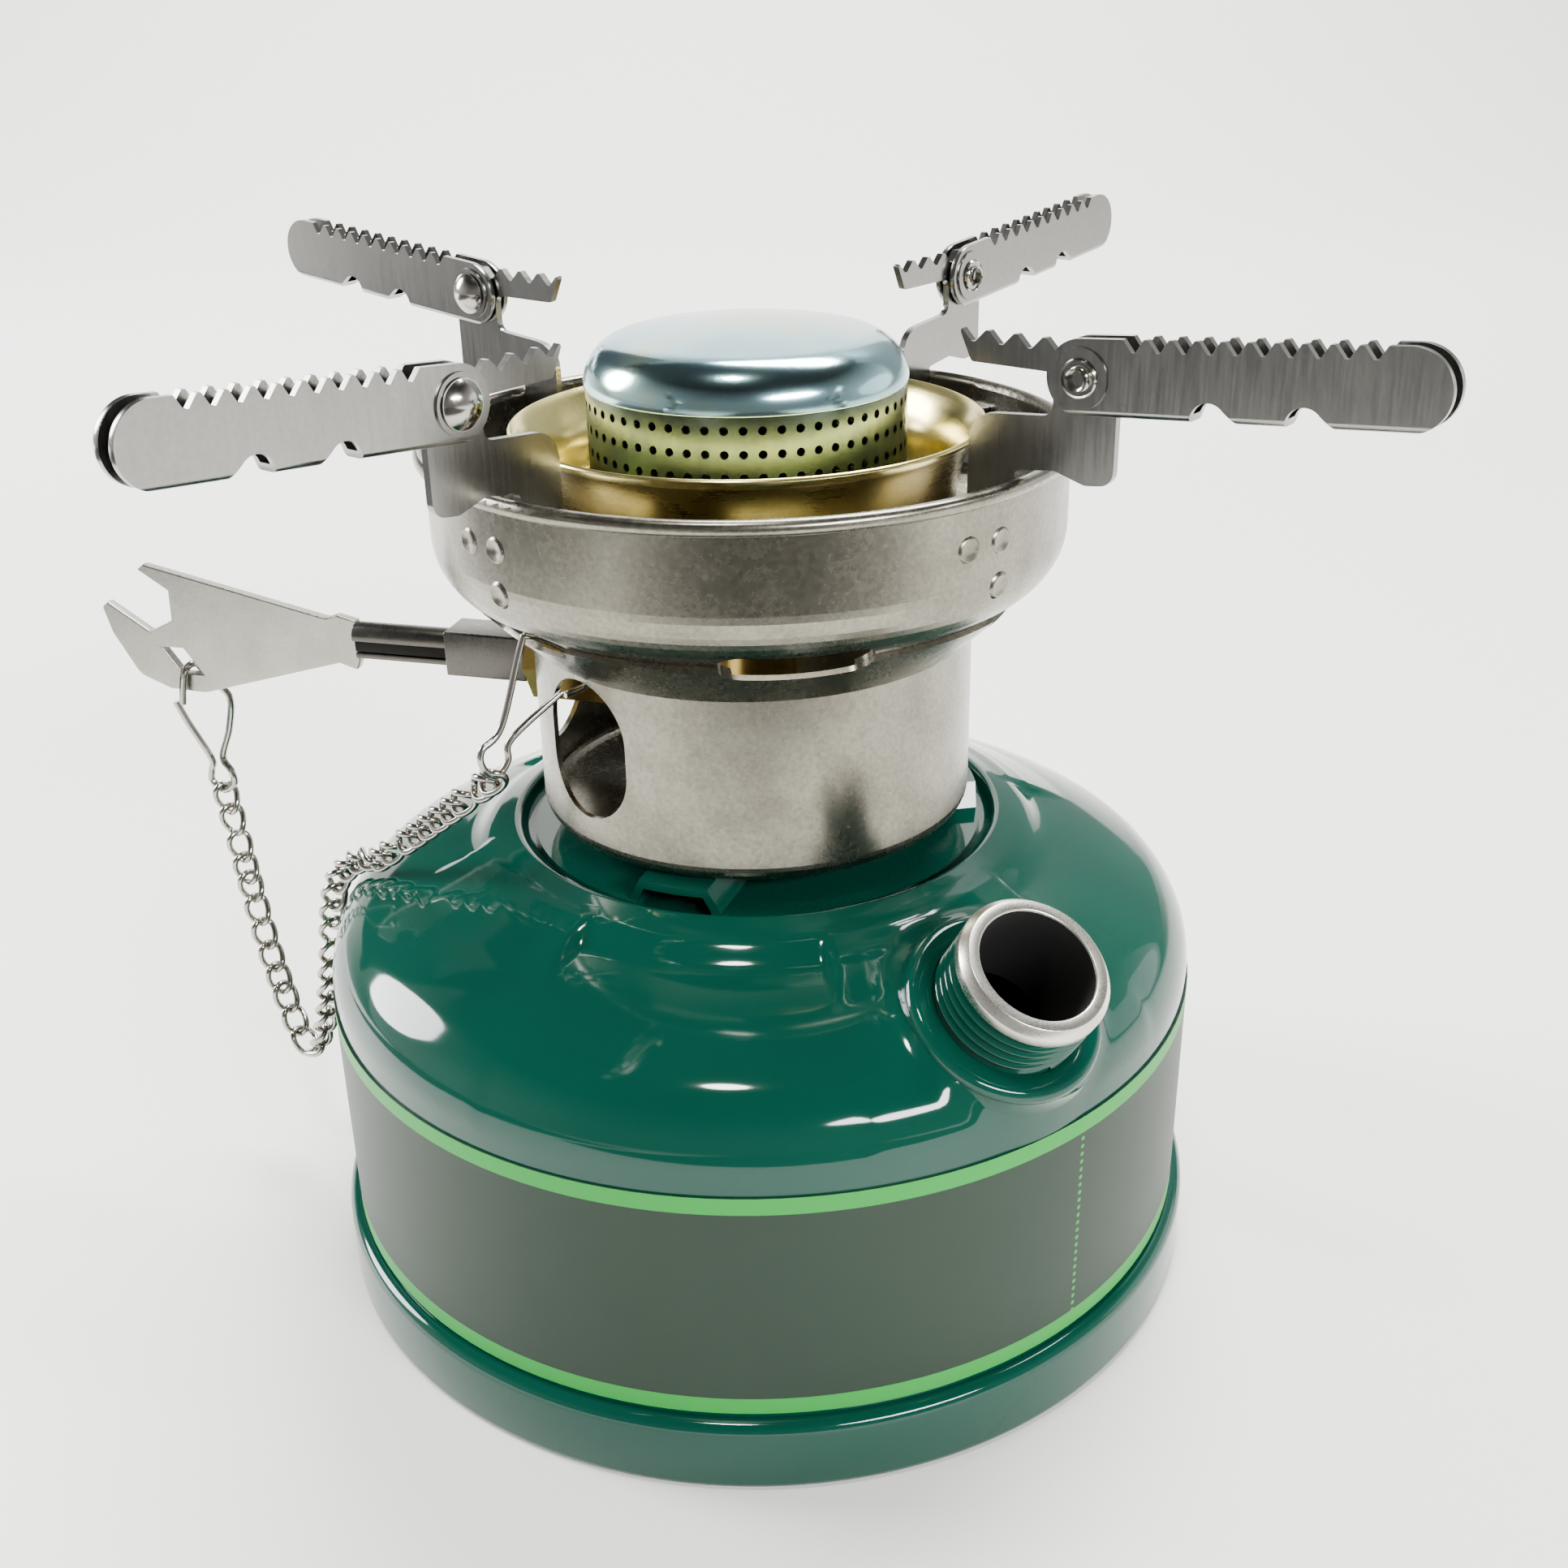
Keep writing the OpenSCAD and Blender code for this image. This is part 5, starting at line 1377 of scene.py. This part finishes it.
@dataclass
class SpindleKey:
    """Key on the spindle's square, its clip, and the chain that ties it to the can."""

    spindle_az: float = 159.0
    spindle_z: float = 87.06
    blade_edge: float = 0.22
    # Square socket with its tab, and the rolled channel that grips the blade's tongue
    socket_start: float = 32.8
    socket_end: float = 45.2
    socket_a: float = 6.6
    socket_bore: float = 3.3
    socket_floor: float = 2.0
    socket_edge: float = 0.3
    tab_low: tuple[float, float, float] = (34.4, -3.6, -4.05)
    tab_high: tuple[float, float, float] = (44.6, 1.2, -3.2)
    shank_start: float = 44.2
    shank_end: float = 60.6
    shank_half_w: float = 1.35
    shank_half_h: float = 2.25
    shank_fold: float = 0.6
    shank_wall: float = 0.9
    shank_lap: float = 0.2
    shank_lip: float = 0.3
    shank_edge: float = 0.15
    tongue_y: tuple[float, float] = (-1.0, 1.05)
    # Key's clip, from the eye: X, share of the half width, Z
    eye_x: float = 90.1
    eye_z: float = -6.7
    clip_half: float = 1.7
    key_wire: float = 1.1
    key_knots: Knots = ((0.6, 1, -5.6), (0, 1, -2.4), (-0.5, 0.8, -0.3), (-0.8, 0, 0.3), (-1.1, -0.8, -0.3),
                        (-2.4, -1, -2.6), (-5.4, -1, -5.2), (-5, -0.7, -10), (-3.4, -0.3, -15),
                        (-4.8, 0, -17.2), (-5, 0, -19.2), (-3.1, 0, -20.6), (-1.2, 0, -19.2),
                        (-1.4, 0, -17.2), (-2, 0.3, -15), (0.4, 0.8, -9), (1.7, 1, -5.4))
    key_bend: tuple[float, float] = (-50.0, -7.0)
    # Can's clip, hooked at the top of the window and under the seam
    clip_az: float = 213.0
    can_wire: float = 0.9
    knot_steps: int = 8
    can_r: float = 30.0
    can_top: float = 94.56
    seam_r: float = 37.5
    seam_z: float = 101.46
    # Chain's route in an upright plane: start and azimuth of the plane, then run and height of each point
    route_at: tuple[float, float] = (-34.96, -22.7)
    route_az: float = 130.66
    route: Line = ((0, 83.6), (28, 62.8), (33, 60.5), (37.5, 57.9), (41.6, 53.8), (44.2, 47.4), (46.2, 39),
                   (48.8, 30.5), (51.9, 23), (54.6, 19), (57, 18.4), (59.4, 20.4), (62, 25.4), (65, 33.5),
                   (67.4, 43), (69.2, 51.9), (71, 59.8))
    route_steps: int = 12
    # A link lies along the route from this many points before its middle to as many after
    link_reach: int = 4
    chain_bend: Line = ((46.5, 48.9), (92.9, 69.5))
    link_wire: float = 0.95
    link_long: float = 2.4
    link_wide: float = 1.6
    link_twist: float = 0.7
    link_pitch: float = 3.85
    link_end: float = 1.6
    link_points: int = 28
    # Turn of the links about the chain, by share of its length
    rolls: Line = ((0.0, 76.0), (0.3, 62.0), (0.5, 30.0), (0.66, -24.0), (1.0, -46.0))

    def build(self) -> Pieces:
        """Makes the softened key, the clips and the chain.

        Returns:
            The pieces.
        """
        spindle = paint(("valve_spindle",), Palette.KEY)
        blade = Bench.copy_of("key_blade", "key_plate")
        Bench.round_edges(blade, self.blade_edge, angle=30)
        dress(blade, Palette.KEY, KEY, ("key_blade",), angle=60)
        Bench.flatten(blade)
        return [*spindle, blade, self.shank(), self.tongue(), self.key_clip(), self.can_clip(), self.chain()]

    def seat(self) -> Matrix:
        """Finds the spindle's place.

        Returns:
            The place, in metres, with X outwards along the spindle.
        """
        spin = Matrix.Rotation(math.radians(self.spindle_az), 4, "Z")
        return Matrix.Translation((0, 0, self.spindle_z * MM)) @ spin

    def shank(self) -> bpy.types.Object:
        """Folds the shank: a rolled channel, and the square socket behind it.

        Returns:
            The shank.
        """
        half_w, half_h, fold = self.shank_half_w, self.shank_half_h, self.shank_fold
        section = ([(half_w, self.shank_lap)] + arc(0, half_h - half_w, half_w, 0, 180, 14)
                   + arc(fold - half_w, fold - half_h, fold, 180, 270, 6)
                   + [(half_w - self.shank_lip, -half_h)])
        channel = Bench.channel("key_channel", section, self.shank_start, self.shank_end, self.shank_wall)
        socket = Bench.socket("key_socket", self.socket_start, self.socket_end, self.socket_a,
                              self.socket_bore, self.socket_floor)
        tab = Bench.slab("key_tab", self.tab_low, self.tab_high)
        for piece, edge in ((channel, self.shank_edge), (socket, self.socket_edge), (tab, self.shank_edge)):
            Bench.round_edges(piece, edge, angle=40, segments=3)
        shank = Bench.join("key_shank_folded", [channel, socket, tab])
        Bench.place(shank, self.seat())
        return dress(shank, Palette.SHANK, KEY, ("key_shank",), angle=40)

    def tongue(self) -> bpy.types.Object:
        """Makes the tongue that shows in the channel's open side, nearly black with painted shade.

        Returns:
            The tongue.
        """
        back, front = self.tongue_y
        tongue = Bench.slab("key_tongue", (self.shank_start, back, self.shank_fold - self.shank_half_h),
                            (self.shank_end, front, self.shank_half_h - self.shank_half_w))
        Bench.round_edges(tongue, self.shank_edge, angle=40, segments=3)
        Bench.place(tongue, self.seat())
        # Painted shade: the tongue is nearly black because it lies in the shadowed groove
        return dress(tongue, Palette.GROOVE_SHADE, KEY)

    def key_clip(self) -> bpy.types.Object:
        """Bends the clip that hangs in the key's eye.

        Returns:
            The clip.
        """
        knots = [(self.eye_x + x, share * self.clip_half, self.eye_z + z) for x, share, z in self.key_knots]
        clip = Bench.wire("key_snap_clip", smooth_path(knots, self.knot_steps), self.key_wire)
        Bench.place(clip, self.seat())
        start, end = (self.seat() @ Vector((self.eye_x * MM, 0, z * MM)) for z in self.key_bend)
        return dress_bent(clip, "key_clip")

    def can_clip(self) -> bpy.types.Object:
        """Bends the clip that hooks through an air slot and the window below it.

        Returns:
            The clip.
        """
        r, t, q, z = self.can_r, self.can_top, self.seam_r, self.seam_z
        knots = [(r + 1.4, 1, t - 2.4), (r - 1.9, 0.8, t - 1.9), (r - 1.2, 0.6, t + 1.4),
                 (r + 1.6, 0.4, t + 4.2), (q - 2, 0, z - 0.6), (q - 0.9, -0.2, z - 1.8),
                 (q + 2.9, 0, t - 4.6), (q + 6, 0, t - 7), (q + 6, 0, t - 9.4), (q + 4.2, 0, t - 11),
                 (q + 2.4, 0, t - 9.4), (q + 1.6, 0, t - 6.6), (r + 1.8, 1, t - 1.9)]
        clip = Bench.wire("can_snap_clip", smooth_path(knots, self.knot_steps), self.can_wire)
        Bench.place(clip, Matrix.Rotation(math.radians(self.clip_az), 4, "Z"))
        return dress(clip, Palette.NICKEL, ROOT, ("can_clip",))

    def chain(self) -> bpy.types.Object:
        """Lays twisted curb links along the chain's route.

        Returns:
            The chain.
        """
        spin = Matrix.Rotation(math.radians(self.route_az), 4, "Z")
        plane = Matrix.Translation(Vector((*self.route_at, 0)) * MM) @ spin
        path = [Vector(p) for p in smooth_path([(x, 0, z) for x, z in self.route], self.route_steps)]
        runs = [0.0]
        for p, q in zip(path, path[1:]):
            runs.append(runs[-1] + (q - p).length)
        length = runs[-1] - 2 * self.link_end
        gaps = round(length / self.link_pitch)
        places = []
        for k in range(gaps + 1):
            d = self.link_end + k * length / gaps
            i = min(range(len(runs)), key=lambda n: abs(runs[n] - d))
            ahead = path[min(i + self.link_reach, len(path) - 1)] - path[max(i - self.link_reach, 0)]
            lean = Matrix.Rotation(-math.atan2(ahead.z, ahead.x), 4, "Y")
            roll = Matrix.Rotation(math.radians(self.roll(k / gaps)), 4, "X")
            places.append(plane @ Matrix.Translation(path[i] * MM) @ lean @ roll)
        chain = Bench.join("chain_links", Bench.copies(self.link(), places))
        Bench.pick(chain)
        bpy.ops.object.shade_smooth()
        return dress_bent(chain, "key_chain")

    def roll(self, share: float) -> float:
        """Finds a link's turn about the chain.

        Args:
            share: Place of the link, as a share of the chain's length.

        Returns:
            The turn in degrees.
        """
        for (s0, r0), (s1, r1) in zip(self.rolls, self.rolls[1:]):
            if share <= s1:
                return r0 + (r1 - r0) * (share - s0) / (s1 - s0)
        return self.rolls[-1][1]

    def link(self) -> bpy.types.Object:
        """Bends one curb link: an oval of wire whose two ends are twisted out of its plane.

        Returns:
            The link, at the origin and along X.
        """
        turns = [2 * math.pi * i / self.link_points for i in range(self.link_points + 1)]
        long, wide, twist = self.link_long, self.link_wide, self.link_twist
        oval = [(long * math.cos(t), wide * math.sin(t), twist * math.sin(2 * t)) for t in turns]
        return Bench.wire("link", oval, self.link_wire)


@dataclass(frozen=True)
class Flag:
    """Dark cloth out of the picture, which only the shiny surfaces reflect. Its sizes are in metres."""

    name: str
    at: tuple[float, float, float]
    face: tuple[float, float, float]
    size: tuple[float, float]
    tone: str

    def build(self) -> bpy.types.Object:
        """Hangs the cloth.

        Returns:
            The cloth.
        """
        Bench.clear()
        bpy.ops.mesh.primitive_grid_add(x_subdivisions=2, y_subdivisions=2, size=1)
        cloth = bpy.context.object
        cloth.name = self.name
        turn = Vector(self.face).to_track_quat("Z", "Y").to_matrix().to_4x4()
        Bench.place(cloth, Matrix.Translation(self.at) @ turn @ Matrix.Diagonal((*self.size, 1, 1)))
        cloth.visible_camera = False
        cloth.visible_diffuse = False
        cloth.visible_shadow = False
        cloth.data.materials.append(Finish(f"{self.name}_cloth", self.tone, 0.9).material())
        return cloth


@dataclass(frozen=True)
class Lamp:
    """Large soft light. Its place, its aim and its sizes are in metres and its power in watts."""

    name: str
    at: tuple[float, float, float]
    aim: tuple[float, float, float]
    size: tuple[float, float]
    power: float
    tint: str = "#FFFFFF"
    shape: str = "ELLIPSE"

    def build(self) -> bpy.types.Object:
        """Hangs the light.

        Returns:
            The light.
        """
        light = bpy.data.lights.new(self.name, "AREA")
        light.shape = self.shape
        light.size, light.size_y = self.size
        light.energy = self.power
        light.color = linear(self.tint)[:3]
        obj = bpy.data.objects.new(self.name, light)
        obj.location = self.at
        obj.rotation_euler = (Vector(self.aim) - Vector(self.at)).to_track_quat("-Z", "Y").to_euler()
        bpy.context.scene.collection.objects.link(obj)
        return obj


@dataclass
class Studio:
    """Pale floor, flags, soft light and the camera at the photograph's angle. Its sizes are in metres."""

    floor_span: float = 6.0
    floor_shift: float = 1.2
    backdrop_y: float = 1.0
    backdrop_run: float = 1.2
    backdrop_r: float = 0.8
    # The lights round the stove look at its middle
    middle: tuple[float, float, float] = (0.0, 0.0, 0.06)
    # Camera's place in mm and its angles in degrees, solved from the photograph's round edges
    camera_at: tuple[float, float, float] = (-19.82, -231.19, 177.59)
    pan: float = 5.861
    pitch: float = 24.983
    roll: float = -1.086
    focal_px: float = 2200.0
    image_px: float = 1932.0

    def build(self) -> Pieces:
        """Makes the floor, the flags, the lights, the surround and the camera.

        Returns:
            The pieces.
        """
        flags = [
            Flag("left_flag", (-0.74, -0.16, 0.004), (0, 0, 1), (0.84, 0.74), "#1B1D1F"),
            Flag("front_flag", (0.04, -0.84, 0.004), (0, 0, 1), (0.62, 1.24), "#1E1C1A"),
            Flag("back_flag", (-0.574, 0.819, 0.74), (0.574, -0.819, 0), (0.62, 1.04), "#15181A"),
            Flag("right_flag", (0.682, 0.731, 0.6), (-0.682, -0.731, 0), (0.66, 0.92), "#6A6E6D")]
        lamps = [
            Lamp("front_window", self.around(-62, 28, 1.1), self.middle, (0.62, 0.16), 18.0),
            Lamp("left_window", self.around(156, 23, 1.2), self.middle, (0.5, 0.6), 30.0, "#FBFCFF"),
            Lamp("ceiling_lamp", self.around(-118, 74, 1.2), self.middle, (0.16, 0.12), 7.0, "#FFFBF2"),
            Lamp("top_light", self.around(60, 62, 1.5), self.middle, (1.0, 0.5), 52.0),
            Lamp("right_wall", self.around(8, 10, 1.3), self.middle, (0.9, 0.5), 1.5, "#F8FBFF"),
            Lamp("wall_wash", (0, 0.75, 1.1), (0, 1.7, 0.8), (2.4, 0.6), 40.0, shape="RECTANGLE")]
        pieces = [self.floor(), *(flag.build() for flag in flags), *(lamp.build() for lamp in lamps)]
        self.surround()
        return [*pieces, self.camera()]

    def around(self, turn: float, rise: float, far: float) -> tuple[float, float, float]:
        """Finds a place round the stove.

        Args:
            turn: Azimuth in degrees.
            rise: Elevation in degrees.
            far: Distance from the stove's middle, in metres.

        Returns:
            The place, in metres.
        """
        a, e = math.radians(turn), math.radians(rise)
        way = Vector((math.cos(a) * math.cos(e), math.sin(a) * math.cos(e), math.sin(e)))
        return tuple(Vector(self.middle) + way * far)

    def floor(self) -> bpy.types.Object:
        """Lays a wide floor that bends up into a backdrop far behind the stove.

        Returns:
            The floor.
        """
        Bench.clear()
        bpy.ops.mesh.primitive_grid_add(x_subdivisions=60, y_subdivisions=120, size=1)
        floor = bpy.context.object
        floor.name = "floor"
        for v in floor.data.vertices:
            run = v.co.y * self.floor_span + self.floor_shift
            past = max(0.0, run - self.backdrop_y)
            turn = min(past / self.backdrop_run, 1.0) * math.pi / 2
            v.co = (v.co.x * self.floor_span,
                    min(run, self.backdrop_y) + math.sin(turn) * self.backdrop_r,
                    (1 - math.cos(turn)) * self.backdrop_r + max(0.0, past - self.backdrop_run))
        Bench.pick(floor)
        bpy.ops.object.shade_smooth()
        floor.data.materials.append(Finish("pale_floor", "#F1F0EC", 0.6).material())
        return floor

    def surround(self) -> None:
        """Sets a pale surround that is darker behind the camera and overhead."""
        world = bpy.data.worlds.new("surround")
        world.use_nodes = True
        tree = world.node_tree
        tree.nodes.clear()
        way = add(tree, "ShaderNodeTexCoord").outputs["Generated"]
        xyz = add(tree, "ShaderNodeSeparateXYZ", {"Vector": way}).outputs
        behind = add(tree, "ShaderNodeMapRange", {
            "Value": xyz["Y"], "From Min": -0.7, "From Max": 0.5, "To Min": 0.35, "To Max": 1.6})
        above = add(tree, "ShaderNodeMapRange", {
            "Value": xyz["Z"], "From Min": 0.25, "From Max": 0.7, "To Min": 1.0, "To Max": 0.06})
        level = add(tree, "ShaderNodeMath", {0: behind.outputs["Result"], 1: above.outputs["Result"]},
                    operation="MULTIPLY")
        sky = add(tree, "ShaderNodeBackground", {"Color": linear("#F4F4F2"), "Strength": level.outputs[0]})
        add(tree, "ShaderNodeOutputWorld", {"Surface": sky.outputs["Background"]})
        bpy.context.scene.world = world

    def camera(self) -> bpy.types.Object:
        """Sets the camera.

        Returns:
            The camera.
        """
        pan, pitch, roll = (math.radians(v) for v in (self.pan, self.pitch, self.roll))
        ahead = Vector((math.sin(pan) * math.cos(pitch), math.cos(pan) * math.cos(pitch), -math.sin(pitch)))
        level = Vector((math.cos(pan), -math.sin(pan), 0))
        up = level.cross(ahead)
        right = level * math.cos(roll) + up * math.sin(roll)
        top = -level * math.sin(roll) + up * math.cos(roll)
        lens = bpy.data.cameras.new("camera")
        lens.sensor_width = 36.0
        lens.lens = self.focal_px / self.image_px * lens.sensor_width
        lens.clip_start = 0.01
        obj = bpy.data.objects.new("camera", lens)
        turn = Matrix((right, top, -ahead)).transposed().to_4x4()
        obj.matrix_world = Matrix.Translation(Vector(self.camera_at) * MM) @ turn
        bpy.context.scene.collection.objects.link(obj)
        bpy.context.scene.camera = obj
        return obj


def main() -> None:
    """Builds the stage and every sub-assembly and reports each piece."""
    logging.basicConfig(level=logging.INFO, format="%(message)s")
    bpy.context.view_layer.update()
    neck = FillerNeck()
    for part in (Studio(), Tank(neck), neck, Windshield(), Burner(), PotSupports(), SpindleKey()):
        for piece in part.build():
            log.info("%s: %s", type(part).__name__, piece.name)
    Bench.clear()


if __name__ == "__main__":
    main()
